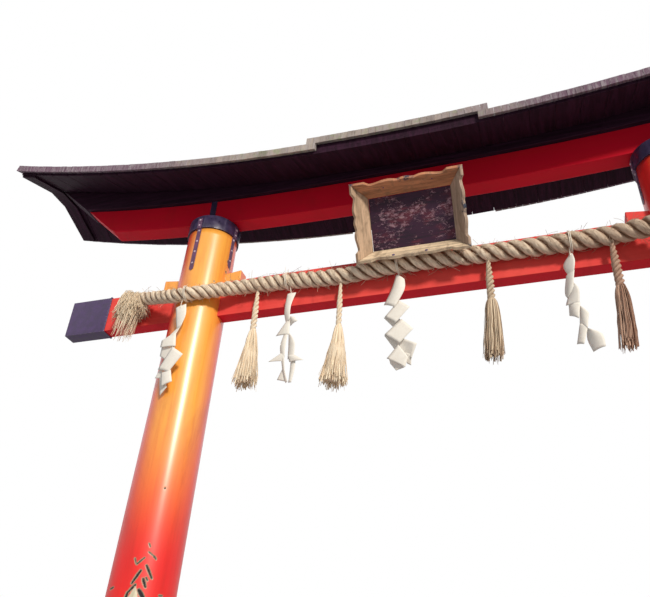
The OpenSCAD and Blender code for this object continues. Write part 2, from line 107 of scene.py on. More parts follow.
def feed(socket, value):
    """Feeds a socket with a plain value or with what another step hands on."""
    if isinstance(value, Flow):
        value.tree.links.new(value.socket, socket)
    elif value is not None:
        is_colour = socket.type == "RGBA" and len(value) == 3
        socket.default_value = (*value, 1.0) if is_colour else value


def step(kind, *feeds, tree=None, **named):
    """Adds a step. Feeds go in by order or by a name with a capital; the rest are its options."""
    for value in (*feeds, *named.values()):
        tree = value.tree if isinstance(value, Flow) else tree
    node = tree.nodes.new(kind if kind.startswith(("Geometry", "Function")) else "ShaderNode" + kind)
    for name, value in named.items():
        if name[0].islower():
            setattr(node, name, value)
    for socket, value in zip(node.inputs, feeds):
        feed(socket, value)
    for name, value in named.items():
        if name[0].isupper():
            feed(node.inputs[name.replace("_", " ")], value)
    return Flow(node.outputs[0]) if node.outputs else node


def work_out(operation, *feeds, **options):
    return step("Math", *feeds, operation=operation, **options)


def in_view(tree):
    """1 for light that goes to the eye, straight, mirrored or through, and 0 for all other."""
    ray = step("LightPath", tree=tree)
    straight_or_mirrored = work_out("MAXIMUM", ray["Is Camera Ray"], ray["Is Glossy Ray"])
    return work_out("MAXIMUM", straight_or_mirrored, ray["Is Transmission Ray"])


surround = bpy.data.worlds.new("surround")
bpy.context.scene.world = surround
surround.use_nodes = True
air = surround.node_tree
air.nodes.clear()
pale_light = step("Background", (0.94, 0.95, 1.0), 0.36, tree=air)
white_wall = step("Background", (1.0, 1.0, 1.0), 1.0, tree=air)
step("OutputWorld", step("MixShader", in_view(air), pale_light, white_wall))


# Ground
# A plain pale floor under the gate. It isn't part of the object. Like every finish here, its
# own is a few steps: a stain or grain over the piece's own place, and mixes of two colours.
def between(share, one, other):
    return step("Mix", share, None, None, None, None, None, one, other, data_type="RGBA")[2]


def own_place(tree):
    return step("TexCoord", tree=tree)["Object"]


def mottle(place, scale, detail=4.0, rough=0.55, distort=0.0):
    return step("TexNoise", Vector=place, Scale=scale, Detail=detail, Roughness=rough, Distortion=distort)


def skin(name, points, faces, material=None, **marks):
    """A smooth mesh; marks are values or ways that are kept for each of its points."""
    mesh = bpy.data.meshes.new(name)
    mesh.from_pydata(points, [], faces)
    for label, values in marks.items():
        if hasattr(values[0], "__len__"):
            ways = mesh.attributes.new(label, "FLOAT_VECTOR", "POINT")
            ways.data.foreach_set("vector", [c for way in values for c in way])
        else:
            mesh.attributes.new(label, "FLOAT", "POINT").data.foreach_set("value", values)
    if material:
        mesh.materials.append(material)
    mesh.shade_smooth()
    return mesh


pale_floor = bpy.data.materials.new("pale_floor")
pale_floor.use_nodes = True
tree = pale_floor.node_tree
tree.nodes.clear()
pale = step("BsdfDiffuse", between(mottle(own_place(tree), 0.6), (0.80, 0.80, 0.79), (0.84, 0.84, 0.83)))
quiet = step("BsdfDiffuse", (0.60, 0.60, 0.60), tree=tree)
step("OutputMaterial", step("MixShader", in_view(tree), quiet, pale))
far = 60
corners = [(-far, -far, 0), (far, -far, 0), (far, far, 0), (-far, far, 0)]
shown("floor", skin("floor", corners, [(0, 1, 2, 3)], pale_floor))


# Base stones
# Under each pillar lies a drum of dressed granite with a rounded shoulder. It stands on the
# ground and isn't fixed: the pillar stands on it, and the gate's weight holds both.
def rise(value, low, high, least=0.0, most=1.0):
    """Eases from least to most while the value goes from low to high."""
    return step("MapRange", value, low, high, least, most, interpolation_type="SMOOTHSTEP")


def layers(colour, *coats):
    """A colour under coats of others, each with its mask."""
    for mask, coat in coats:
        colour = between(mask, colour, coat)
    return colour


def finish(name):
    """A new material, and the place of a point in its piece."""
    material = bpy.data.materials.new(name)
    material.use_nodes = True
    return material, own_place(material.node_tree)


def cover(material, **looks):
    """Gives a material's shader its values."""
    for label, value in looks.items():
        feed(material.node_tree.nodes["Principled BSDF"].inputs[label.replace("_", " ")], value)
    return material


def lifted(height, strength, depth):
    return step("Bump", Height=height, Strength=strength, Distance=depth)


granite, place = finish("granite")
speckle = step("TexVoronoi", Vector=place, Scale=240.0)
damp = rise(step("SeparateXYZ", place)["Z"], 0.0, 0.12)
pecked = mottle(place, 60.0, 6.0, 0.7) + speckle * 0.4
cover(granite, Roughness=0.85, Normal=lifted(pecked, 0.6, 0.004), Base_Color=layers(
    (0.24, 0.23, 0.22),
    (step("SeparateColor", speckle["Color"]), (0.62, 0.60, 0.57)),
    (rise(mottle(place, 9.0), 0.45, 0.7), (0.33, 0.32, 0.27)),
    ((1.0 - damp) * 0.6, (0.14, 0.13, 0.10))))


def coated(mesh, material):
    """Puts one material on a whole mesh."""
    mesh.materials.clear()
    mesh.materials.append(material)
    for face in mesh.polygons:
        face.material_index = 0


for side in ("left", "right"):
    coated(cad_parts["base_stone_" + side].data, granite)


# Foot wraps
# A sheet of black metal is wrapped round each pillar's foot against wet. It is nailed through
# to the wood in two rows near its upper edge and one row just above the stone.
def group(kind, name, results, **wanted):
    """An empty group of steps, what it is given, and the sockets for what it gives."""
    tree = bpy.data.node_groups.new(name, kind + "NodeTree")
    for label, value in wanted.items():
        sort = value if isinstance(value, str) else {int: "Int", float: "Float", tuple: "Vector"}[type(value)]
        socket = tree.interface.new_socket(label.replace("_", " "), in_out="INPUT",
                                           socket_type="NodeSocket" + sort)
        if sort != value:
            socket.default_value = value
    for label in results:
        tree.interface.new_socket(label, in_out="OUTPUT", socket_type="NodeSocket"
                                  + ("Geometry" if kind == "Geometry" else "Float"))
    given = {s.name: Flow(s) for s in tree.nodes.new("NodeGroupInput").outputs}
    return tree, given, tree.nodes.new("NodeGroupOutput").inputs


def stretched(place, scale):
    return step("Mapping", Vector=place, Scale=scale)


def facing(tree):
    return step("NewGeometry", tree=tree)["Normal"]


# Wear along edges and grime are effects that several finishes use, each with its own values
worn_edge, given, gives = group("Shader", "worn_edge", ["Mask"], Reach=0.006, Breakup=60.0, Amount=1.0)
rounded = step("Bevel", given["Reach"], samples=4)
likeness = step("VectorMath", rounded, facing(worn_edge), operation="DOT_PRODUCT")["Value"]
broken = rise(mottle(own_place(worn_edge), given["Breakup"], 5.0, 0.7), 0.44, 0.60)
corner = rise(1.0 - likeness, 0.01, 0.16) * broken
feed(gives["Mask"], work_out("MULTIPLY", corner, given["Amount"], use_clamp=True))

grime, given, gives = group("Shader", "grime", ["Mask"], Size=4.0, Amount=0.5, Lies_On_Top=0.0)
blots = mottle(stretched(own_place(grime), (1.0, 1.0, 0.35)), given["Size"], 6.0, 0.65, 0.6)
laid = rise(step("SeparateXYZ", facing(grime))["Z"], 0.2, 0.9) * given["Lies On Top"]
feed(gives["Mask"], work_out("MULTIPLY", rise(blots, 0.48, 0.72) + laid, given["Amount"], use_clamp=True))


def use(place, effect, **values):
    return step("Group", tree=place.tree, node_tree=effect, **values)


def black_metal(name, tint, sheen, rust, worn=(0.33, 0.31, 0.36)):
    """Black paint worn to a slate grey with a violet sheen, with rust where it has gone."""
    material, place = finish(name)
    bare = use(place, worn_edge, Reach=0.004, Breakup=90.0, Amount=1.0)
    cloudy = rise(mottle(place, 26.0, 5.0, 0.6), 0.35, 0.7)
    colour = layers(
        tint,
        (cloudy, [min(1.0, 1.6 * c) for c in tint]),
        (use(place, grime, Size=7.0, Amount=0.45, Lies_On_Top=0.5), [min(1.0, 1.8 * c + 0.02) for c in tint]),
        (rise(mottle(place, 48.0, 6.0, 0.7), 0.60, 0.70) * rust, (0.17, 0.055, 0.02)),
        (bare, worn))
    beaten = mottle(place, 7.0, 2.0) + cloudy * 0.12
    return cover(material, Specular_IOR_Level=0.5, Base_Color=colour, Roughness=cloudy * 0.2 + sheen,
                 Metallic=bare * 0.8, Normal=lifted(beaten, 0.5, 0.006))


def vector_of(x, y, z):
    return step("CombineXYZ", x, y, z)


def hand_on(socket, pieces, material):
    """Ends a group: its pieces become one mesh of one material."""
    real = step("GeometryNodeRealizeInstances", Geometry=pieces)
    feed(socket, step("GeometryNodeSetMaterial", Geometry=real, Material=material))


# One group sets every row of nail and rivet heads: it takes their places, with the way each
# one faces, and puts a low round head on each
heads_on_metal, given, gives = group("Geometry", "heads_on_metal", ["Heads"], Places="Geometry",
                                     Head_Radius=0.007, Head_Height=0.003, Metal="Material")
ball = step("GeometryNodeMeshUVSphere", Segments=10, Rings=6, Radius=given["Head Radius"])
squat = step("GeometryNodeTransform", Geometry=ball,
             Scale=vector_of(1.0, 1.0, given["Head Height"] / given["Head Radius"]))
way = step("GeometryNodeInputNamedAttribute", tree=heads_on_metal, data_type="FLOAT_VECTOR", Name="facing")
turn = step("FunctionNodeAlignRotationToVector", Vector=way["Attribute"], axis="Z")
laid = step("GeometryNodeInstanceOnPoints", Points=given["Places"], Instance=squat, Rotation=turn)
hand_on(gives["Heads"], laid, given["Metal"])


def grown(name, start, tree, **values):
    """Runs a group on a start mesh and keeps the result as a plain mesh in a piece of its own."""
    seed = shown(name + "_start", start)
    maker = seed.modifiers.new("make", "NODES")
    maker.node_group = tree
    for item in tree.interface.items_tree:
        value = values.get(item.name.lower().replace(" ", "_"))
        if item.in_out == "INPUT" and value is not None:
            maker[item.identifier] = value
    bpy.context.view_layer.update()
    mesh = bpy.data.meshes.new_from_object(seed.evaluated_get(bpy.context.evaluated_depsgraph_get()))
    mesh.name = name
    seed.modifiers.remove(maker)
    bpy.data.objects.remove(seed)
    return shown(name, mesh)


def fixed(piece, node=None):
    """Sets the body a piece rides on, and hides the solid that it stands for."""
    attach(piece, "root")
    if node:
        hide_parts(node)
    return piece


def heads(name, spots, radius, height, metal):
    """A low round head on every spot, facing its way."""
    start = skin(name + "_spots", [p for p, _ in spots], [], facing=[way for _, way in spots])
    piece = grown(name, start, heads_on_metal, head_radius=radius, head_height=height, metal=metal)
    piece.data.shade_smooth()
    fixed(piece)


post_spacing = 3.030
post_foot = 0.376
post_head = 0.326
post_high = 4.405
post_lean = radians(1.24)
post_long = post_high / cos(post_lean)


def on_post(side, along, out, turn):
    """A place on a leaning pillar, and the way out of it, by height, distance out and turn."""
    leaning = Matrix.Rotation(-side * post_lean, 3, "Y")
    way = Vector((sin(turn), -cos(turn), 0.0))
    spot = leaning @ (out * way + Vector((0.0, 0.0, along)))
    return spot + Vector((side * post_spacing / 2, 0.0, 0.0)), leaning @ way


def post_radius(along):
    return (post_foot - (post_foot - post_head) * along / post_long) / 2


both_sides = ((-1, "left"), (1, "right"))
wrap_metal = black_metal("wrap_metal", (0.022, 0.019, 0.024), sheen=0.40, rust=0.6)
wrap_thick = 0.010
nails_round = 20
# Rows of nails: height on the pillar, and how far the row is turned, in shares of its spacing
nail_rows = ((0.275, 0.0), (0.715, 0.0), (0.745, 0.5))
for side, name in both_sides:
    coated(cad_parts["foot_wrap_" + name].data, wrap_metal)
    spots = [on_post(side, along, post_radius(along) + wrap_thick, 2 * pi * (i + shift) / nails_round)
             for along, shift in nail_rows for i in range(nails_round)]
    heads("foot_wrap_nails_" + name, spots, radius=0.008, height=0.004, metal=wrap_metal)


# Pillars
# Each pillar is one round post of cypress, tapered and leaning inwards, under many coats of
# vermilion that shine. Its upper part is painted golden orange on the side that faces the sun:
# a painted sunlit glow. Low on the left pillar the paint is scored in strokes down to old black
# paint, and rubbed off to the pale wood.
timber_grain, given, gives = group(
    "Shader", "timber_grain", ["Tone", "Height"], Vector="Vector", Fineness=1.0)
wander = mottle(given["Vector"], 2.0, 2.0)
bent = step("VectorMath", given["Vector"], vector_of(wander, wander, wander), operation="ADD")
rings = mottle(bent, given["Fineness"] * 3.0, 3.0, 0.5)
fibres = mottle(bent, given["Fineness"] * 17.0, 6.0, 0.7)
feed(gives["Tone"], rings * 0.6 + fibres * 0.4)
feed(gives["Height"], rings * 0.35 + fibres)


def attribute(place, name):
    return step("Attribute", tree=place.tree, attribute_name=name)["Fac"]


def vermilion(name, grain, gloss, shine, coat, red, painted_sunlight, sunlit_colour):
    """Red paint on timber, with its gloss, how strongly its sunward side is painted lighter as sunlight, and
    to what colour.
    """
    material, place = finish(name)
    lines = use(place, timber_grain, Vector=stretched(place, grain), Fineness=1.0)
    cloudy = rise(mottle(stretched(place, (1.0, 1.0, 0.4)), 2.2, 5.0, 0.6), 0.35, 0.75)
    to_sun = step("VectorMath", facing(place.tree), (0.52, -0.84, 0.10), operation="DOT_PRODUCT")["Value"]
    height = step("SeparateXYZ", place)["Z"]
    # Towards the key light, and higher up where its glare falls on the pillars, the red is painted towards a
    # lighter colour: painted sunlight
    painted_sunlit_mask = rise(to_sun, 0.20, 0.95) * rise(height, 2.25, 3.3)
    chips = use(place, worn_edge, Reach=0.005, Breakup=45.0, Amount=0.9)
    score = attribute(place, "score")
    rubbed = attribute(place, "rubbed")
    colour = layers(
        red,
        (cloudy, [1.05 * c for c in red]),
        (painted_sunlit_mask * (cloudy * (0.15 * min(1.0, 4 * painted_sunlight)) + painted_sunlight), sunlit_colour),
        (rise(lines["Tone"], 0.44, 0.66) * 0.20, (0.55, 0.022, 0.010)),
        (use(place, grime, Size=3.0, Amount=0.25, Lies_On_Top=0.6), (0.25, 0.018, 0.016)),
        (chips, (0.42, 0.20, 0.11)),
        (attribute(place, "torn_rim"), (0.26, 0.30, 0.20)),
        (score, (0.020, 0.012, 0.016)),
        (rubbed, between(rise(lines["Tone"], 0.42, 0.62), (0.78, 0.72, 0.55), (0.50, 0.46, 0.34))))
    bare = work_out("MAXIMUM", chips, work_out("MAXIMUM", score, rubbed))
    rough = work_out("ADD", gloss, cloudy * 0.06 + bare * 0.4, use_clamp=True)
    glossy = (1.0 - bare) * (rise(height, 2.1, 3.0, 0.06, 1.0) * coat)
    brushed = lines["Height"] * 0.4 + mottle(place, 5.0, 2.0)
    return cover(material, Specular_IOR_Level=shine, Base_Color=colour, Roughness=rough, Coat_Weight=glossy,
                 Coat_Roughness=0.27, Normal=lifted(brushed, 0.3, 0.003))


post_paint = vermilion("post_paint", grain=(14.0, 14.0, 0.7), gloss=0.44, shine=0.45, coat=0.78,
                       red=(0.78, 0.016, 0.014), painted_sunlight=0.90, sunlit_colour=(0.95, 0.45, 0.060))

# Strokes scored into the left pillar: turn from the front in degrees and height, at both ends,
# and half the stroke's width
scores = [
    (9.6, 2.287, 13.3, 2.263, 0.0035), (14.7, 2.26, 25.2, 2.293, 0.004), (28.0, 2.364, 30.8, 2.348, 0.003),
    (30.2, 2.323, 39.6, 2.306, 0.003), (39.6, 2.306, 43.9, 2.294, 0.0045), (31.1, 2.257, 43.1, 2.201, 0.0065),
    (23.3, 2.231, 13.1, 2.169, 0.007), (29.8, 2.193, 35.7, 2.158, 0.0075), (33.9, 2.201, 37.0, 2.189, 0.004),
    (19.4, 2.163, 9.4, 2.125, 0.0065), (9.4, 2.125, 5.0, 2.06, 0.008), (26.9, 2.139, 38.0, 2.1, 0.011),
    (38.0, 2.1, 46.0, 2.04, 0.007), (-29.6, 2.144, -21.0, 2.15, 0.005), (60.7, 2.13, 66.5, 2.131, 0.004),
    (-6.0, 2.03, -14.0, 1.99, 0.006), (51.4, 4.003, 51.6, 4.001, 0.004), (35.3, 2.653, 35.6, 2.65, 0.0045),
    (78.4, 4.205, 80.0, 4.19, 0.005), (78.0, 4.12, 78.6, 4.112, 0.0045), (90.0, 4.165, 93.0, 4.158, 0.005)]
rubbed_top = 2.158
rubbed_foot = 1.930
rubbed_turn = 20.0
rubbed_widening = 0.42
rubbed_deep = 0.0012
score_deep = 0.0035
post_start = 0.242
stone_top = 0.240


def share_of(value):
    return max(0.0, min(1.0, value))


def from_stroke(arc, high, stroke, around):
    """How far a place on the pillar's skin is from a stroke's middle line, beyond its half width."""
    turn, foot, end_turn, end_high, half_wide = stroke
    start = Vector((radians(turn) * around, foot))
    way = Vector((radians(end_turn) * around, end_high)) - start
    share = share_of((Vector((arc, high)) - start).dot(way) / way.dot(way))
    return (Vector((arc, high)) - start - way * share).length - half_wide * (1.0 - 0.5 * abs(share - 0.4))


def spread(*bands):
    """Places with a spacing that changes from band to band."""
    places = []
    for low, high, spacing in bands:
        count = max(1, round((high - low) / spacing))
        places += [low + (high - low) * i / count for i in range(count)]
    return places


def post(name, side, turns, heights, strokes):
    """A pillar's skin, with the strokes scored into it and the patch that is rubbed bare."""
    points, score, torn, rubbed = [], [], [], []
    for along in heights:
        radius = post_radius(along)
        near = [s for s in strokes if min(s[1], s[3]) - 0.03 < along < max(s[1], s[3]) + 0.03]
        for turn in turns:
            # How far this place is from the nearest stroke's ragged rim, inside it below nought
            arc = radians(turn) * radius
            ragged = 0.003 * noise.noise(Vector((arc * 260.0, along * 260.0, 3.0)))
            gap = min([from_stroke(arc, along, s, radius) for s in near], default=1.0) + ragged
            # The rubbed patch is narrow at its top and widens downwards
            fall = rubbed_top - along
            patch = 0.0
            if strokes and 0.0 < fall < rubbed_top - rubbed_foot:
                half = 0.004 + min(rubbed_widening * fall, 0.022) + 2.0 * ragged
                patch = share_of((half - abs(arc - radians(rubbed_turn) * radius)) / 0.003)
            cut = share_of(-gap / 0.0025)
            wave = 0.0007 * noise.noise(Vector((cos(radians(turn)) * 3.0, along * 2.5, side * 4.0)))
            out = radius - score_deep * cut - rubbed_deep * patch + wave
            points.append(on_post(side, along, out, radians(turn))[0])
            score.append(cut * (1.0 - patch))
            torn.append(share_of(1.0 - gap / 0.0045) * (1.0 - patch))
            rubbed.append(patch)
    count = len(turns)
    for point in points[:count]:
        point.z = stone_top
    rings = [[k * count + i for i in range(count)] for k in range(len(heights))]
    faces = [(a[i], a[(i + 1) % count], b[(i + 1) % count], b[i])
             for a, b in zip(rings, rings[1:]) for i in range(count)]
    mesh = skin(name + "_post", points, faces + [tuple(reversed(rings[0])), tuple(rings[-1])], post_paint,
                score=score, torn_rim=torn, rubbed=rubbed)
    for face in list(mesh.polygons)[-2:]:
        face.use_smooth = False
    fixed(shown(name + "_post", mesh), name)


post("pillar_left", -1, spread((-180, -34, 6.0), (-34, 72, 1.0), (72, 100, 1.4), (100, 180, 6.0)),
     spread((post_start, 1.92, 0.08), (1.92, 2.39, 0.003), (2.39, 2.63, 0.06), (2.63, 2.68, 0.004),
            (2.68, 3.98, 0.06), (3.98, 4.23, 0.005), (4.23, post_long, 0.04)) + [post_long], scores)
post("pillar_right", 1, spread((-180, 180, 4.0)), spread((post_start, post_long, 0.08)) + [post_long], [])


# Head rings and their straps
# A disc clad in black metal sits on each pillar's head. Four pointed straps are riveted to
# it and run down the pillar, the front and back ones longer.
def eased(node, material, width, smooth=30.0, segments=2):
    """A solid's own mesh, joined up and with a small round along its edges, in its place."""
    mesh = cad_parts[node].data.copy()
    mesh.name = node + "_eased"
    work = bmesh.new()
    work.from_mesh(mesh)
    bmesh.ops.remove_doubles(work, verts=work.verts, dist=1e-5)
    bmesh.ops.dissolve_limit(work, angle_limit=radians(0.6), verts=work.verts, edges=work.edges)
    work.to_mesh(mesh)
    work.free()
    coated(mesh, material)
    mesh.shade_smooth()
    mesh.set_sharp_from_angle(angle=radians(smooth))
    piece = shown(node + "_eased", mesh)
    arris = piece.modifiers.new("arris", "BEVEL")
    arris.width = width
    arris.segments = segments
    arris.limit_method = "ANGLE"
    arris.angle_limit = radians(smooth)
    arris.harden_normals = True
    fixed(piece, node)


ring_metal = black_metal("ring_metal", (0.026, 0.018, 0.050), sheen=0.27, rust=0.15)
strap_metal = black_metal("strap_metal", (0.085, 0.030, 0.080), sheen=0.36, rust=0.25)
# The rivet heads are painted a pale grey that stands in for their glints: painted highlight
rivet_metal = black_metal("rivet_metal", (0.42, 0.33, 0.40), sheen=0.34, rust=0.2, worn=(0.60, 0.50, 0.50))
ring_r = 0.173
strap_out = 0.0042
strap_turn = radians(6)
# Rivets: below the pillar's head on a long and on a short strap, and above it on the ring
strap_rivets = ((0.021, 0.108, 0.192, 0.284), (0.021, 0.108, 0.192))
ring_rivets = (0.018, 0.062)
for side, name in both_sides:
    eased("pillar_ring_" + name, ring_metal, width=0.004, smooth=50.0)
    eased("ring_straps_" + name, strap_metal, width=0.001, smooth=40.0, segments=1)
    spots = []
    for quarter, drops in enumerate(strap_rivets * 2):
        turn = radians(90 * quarter) + side * strap_turn
        for along in [post_long - drop for drop in drops]:
            spots.append(on_post(side, along, post_radius(along) + strap_out, turn))
        spots += [on_post(side, post_long + up, ring_r + strap_out, turn) for up in ring_rivets]
    heads("ring_strap_rivets_" + name, spots, radius=0.0078, height=0.0045, metal=rivet_metal)


# Tie beam, caps and wedges
# One straight plank runs through both pillars. Wedges driven in above it from both sides lock
# it, and folded sheet metal sheathes its ends.
# The beam's faces towards the sun are painted a pale salmon: painted sunlight
tie_paint = vermilion("tie_paint", grain=(0.7, 14.0, 14.0), gloss=0.55, shine=0.08, coat=0.08,
                      red=(0.70, 0.010, 0.028), painted_sunlight=0.34, sunlit_colour=(0.93, 0.20, 0.14))
cap_metal = black_metal("cap_metal", (0.048, 0.028, 0.085), sheen=0.42, rust=0.15, worn=(0.50, 0.44, 0.48))
tie_half = 2.389
cap_long = 0.303
cap_nail_in = 0.006
cap_nail_x = tie_half - cap_long + cap_nail_in
cap_nail_heights = (0.015, 0.060, 0.105, 0.150, 0.195, 0.240)
cap_face_y = 0.0495
tie_foot = 3.770
eased("tie_beam", tie_paint, width=0.004)
# The left wedges take the pillars' paint for its painted sunlit orange
eased("wedges_left", post_paint, width=0.005)
eased("wedges_right", tie_paint, width=0.005)
for side, name in both_sides:
    eased("tie_cap_" + name, cap_metal, width=0.0015)
    spots = [(Vector((side * cap_nail_x, y * cap_face_y, tie_foot + high)), Vector((0.0, y, 0.0)))
             for y in (-1, 1) for high in cap_nail_heights]
    heads("tie_cap_nails_" + name, spots, radius=0.0035, height=0.002, metal=cap_metal)


# Strut, lintel and its straps
# The strut carries the lintel at mid-span and backs the plaque. The lintel lies on the rings,
# level at the middle and swept up at both ends, with a strap over it above each pillar.
lintel_paint = vermilion("lintel_paint", grain=(0.7, 14.0, 14.0), gloss=0.55, shine=0.08, coat=0.05,
                         red=(0.62, 0.005, 0.024), painted_sunlight=0.0, sunlit_colour=(0.70, 0.02, 0.02))
eased("strut", lintel_paint, width=0.004)
eased("lintel", lintel_paint, width=0.005, smooth=20.0)
eased("lintel_straps", ring_metal, width=0.001)


# Top beam and eave boards
# The top beam and the boards under the eaves are painted black and have weathered to a dull
# violet brown; the boards run down the slope and their joints are open.
def black_timber(name, grain, tint=(0.017, 0.005, 0.013)):
    material, place = finish(name)
    lines = use(place, timber_grain, Vector=stretched(place, grain), Fineness=1.2)
    colour = layers(
        tint,
        (rise(lines["Tone"], 0.40, 0.66), [2.6 * c for c in tint]),
        (use(place, grime, Size=5.0, Amount=0.5, Lies_On_Top=0.8), (0.036, 0.012, 0.028)),
        (use(place, worn_edge, Reach=0.004, Breakup=50.0, Amount=0.7), (0.09, 0.045, 0.065)))
    return cover(material, Specular_IOR_Level=0.12, Base_Color=colour, Roughness=lines["Tone"] * 0.3 + 0.55,
                 Normal=lifted(lines["Height"], 0.6, 0.003))


black_beam = black_timber("black_beam", (0.7, 14.0, 14.0))
black_board = black_timber("black_board", (14.0, 0.8, 3.0))
eased("top_beam", black_beam, width=0.005, smooth=20.0)
for name in ("roof_packing", "verge_board_left", "verge_board_right"):
    eased(name, black_board, width=0.002)


def chance(low, high, seed, number):
    """A value for each board or straw by itself, between low and high."""
    node = step("FunctionNodeRandomValue", data_type="FLOAT", Seed=seed + float(number)).socket.node
    bounds = [s for s in node.inputs if s.type == "VALUE"]
    feed(bounds[0], low)
    feed(bounds[1], high)
    return Flow([s for s in node.outputs if s.type == "VALUE"][0])


def toned(pieces, seed, number):
    """Gives each board or straw its own tone."""
    named = step("GeometryNodeStoreNamedAttribute", Geometry=pieces, Name="tone", data_type="FLOAT",
                 domain="INSTANCE")
    feed(named.socket.node.inputs["Value"], chance(0.0, 1.0, seed, number))
    return named


# Boards side by side along the roof, each one down the slope from near the ridge to the eave
boards_down_the_slope, given, gives = group(
    "Geometry", "boards_down_the_slope", ["Boards"], Start="Geometry", First=-1.0, Run=2.0, Board_Width=0.05,
    Gap=0.0015, Thickness=0.05, Inner=0.0, Outer=0.43, Underside=4.64, Sweep=0.4, Half_Length=2.925,
    Curve=2.1, Slope=0.364, Unevenness=0.002, Seed=3, Wood="Material")
seed = given["Seed"]
count = work_out("CEIL", given["Run"] / given["Board Width"])
wide = given["Run"] / count
row = step("GeometryNodeMeshLine", mode="OFFSET", Count=count, Offset=vector_of(wide, 0.0, 0.0),
           Start_Location=vector_of(wide * 0.5 + given["First"], 0.0, 0.0))
along = step("SeparateXYZ", step("GeometryNodeInputPosition", tree=boards_down_the_slope))
share = abs(along) / given["Half Length"]
steep = given["Sweep"] * given["Curve"] / given["Half Length"] * share ** (given["Curve"] - 1.0)
tilt = work_out("ARCTANGENT", steep) * -work_out("SIGN", along)
uneven = given["Unevenness"] * 0.35
under = given["Underside"] + given["Sweep"] * share ** given["Curve"] + chance(-uneven, uneven, seed, 1)
spots = step("GeometryNodeSetPosition", row, Position=vector_of(along, 0.0, under))
plank = step("GeometryNodeMeshCube", Size=vector_of(wide - given["Gap"], given["Outer"] - given["Inner"],
                                                    given["Thickness"]))
plank = step("GeometryNodeTransform", Geometry=plank, Translation=vector_of(
    0.0, (given["Outer"] + given["Inner"]) * -0.5, given["Thickness"] * 0.5))
# The board's upright sides stay upright, so the slope is a shear and not a turn
corner = step("SeparateXYZ", step("GeometryNodeInputPosition", tree=boards_down_the_slope))
sheared = corner["Z"] + (corner["Y"] + given["Outer"]) * given["Slope"]
front = step("GeometryNodeSetPosition", plank, Position=vector_of(corner, corner["Y"], sheared))
back = step("GeometryNodeTransform", Geometry=front, Rotation=(0.0, 0.0, pi))
both = step("GeometryNodeJoinGeometry", tree=boards_down_the_slope)
ragged = given["Unevenness"] * 3.0
for number, board in ((10, front), (11, back)):
    long = 1.0 - abs(chance(-ragged, ragged, seed, number))
    turned = step("FunctionNodeEulerToRotation", vector_of(0.0, tilt, 0.0))
    laid = step("GeometryNodeInstanceOnPoints", Points=spots, Instance=board, Rotation=turned,
                Scale=vector_of(1.0, long, 1.0))
    feed(both.socket.node.inputs[0], laid)
hand_on(gives["Boards"], toned(both, seed, 0), given["Wood"])

roof_low = 4.6404
roof_half = 2.925
roof_slope = tan(radians(20))


def boards(name, node, slot, **sizes):
    """A run of flat boards in place of a solid."""
    start = skin(name + "_start", [(0, 0, 0)], [])
    piece = grown(name, start, boards_down_the_slope, sweep=0.400, half_length=roof_half, curve=2.1,
                  slope=roof_slope, **sizes)
    for face in piece.data.polygons:
        face.use_smooth = False
    fixed(piece, node)


eave_thick = 0.024
eave_half = 2.895
boards("eave_board_run", "eave_boards", "black_wood", first=-eave_half, run=2 * eave_half,
       board_width=0.145, gap=0.0025, thickness=eave_thick, inner=0.060, outer=0.400,
       underside=roof_low - eave_thick + roof_slope * 0.03, unevenness=0.0006, seed=5, wood=black_board)


# Roof boards
# Narrow boards are laid side by side from ridge to eave in three lengths. They have never
# been painted and are weathered grey, with lichen on those about the middle.
roof_wood, place = finish("roof_wood")
lines = use(place, timber_grain, Vector=stretched(place, (16.0, 0.9, 2.2)), Fineness=1.3)
# Towards both ends, about a point a little left of the middle, the boards are painted a dark purple grey:
# painted shade
outer = rise(abs(step("SeparateXYZ", place) + 0.5), 0.4, 1.5)
lichen = rise(mottle(place, 22.0, 6.0, 0.7), 0.52, 0.64) * (1.0 - outer)
grey = layers(
    (0.50, 0.43, 0.38),
    (outer, (0.19, 0.11, 0.17)),
    (attribute(place, "tone") * 0.40, (0.13, 0.10, 0.12)),
    (rise(lines["Tone"], 0.42, 0.64) * 0.6, (0.42, 0.39, 0.42)),
    (lichen * 0.75, (0.34, 0.38, 0.25)),
    (use(place, grime, Size=6.0, Amount=0.5, Lies_On_Top=0.2), (0.08, 0.065, 0.06)))
cover(roof_wood, Specular_IOR_Level=0.25, Base_Color=grey, Roughness=0.85,
      Normal=lifted(lines["Height"], 0.9, 0.005))

middle_left = -0.620
middle_right = 0.500
lap = 0.060
roof_thick = 0.050
for name, first, last, underside, seed in (
        ("left", -roof_half, middle_left + lap, roof_low, 21),
        ("right", middle_right - lap, roof_half, roof_low, 22),
        ("middle", middle_left, middle_right, roof_low + roof_thick, 23)):
    boards("roof_boards_" + name, "roof_" + name, "roof_boards", first=first, run=last - first,
           board_width=0.046, gap=0.0016, thickness=roof_thick, inner=0.001, outer=0.430, underside=underside,
           unevenness=0.0016, seed=seed, wood=roof_wood)
eased("ridge_cap", black_beam, width=0.003)


# Plaque
# The plaque leans out under the lintel: a dark painted panel, its paint flaked off in specks,
# sunk in four splayed boards with wavy rims, bare but for blue-black paint left on the rims.
plaque_place = Matrix.Translation((0.0, -0.322, 4.092)) @ Matrix.Rotation(radians(116.7), 4, "X")
plaque_back = plaque_place.inverted()
half_wide = 0.314
half_high = 0.222
sunlit_cream = (0.92, 0.72, 0.50)


def in_plaque(place):
    """The place in the plaque's own frame: across, up its face, and out of it."""
    return step("Mapping", Vector=place, vector_type="POINT", Location=tuple(plaque_back.translation),
                Rotation=tuple(plaque_back.to_euler()))


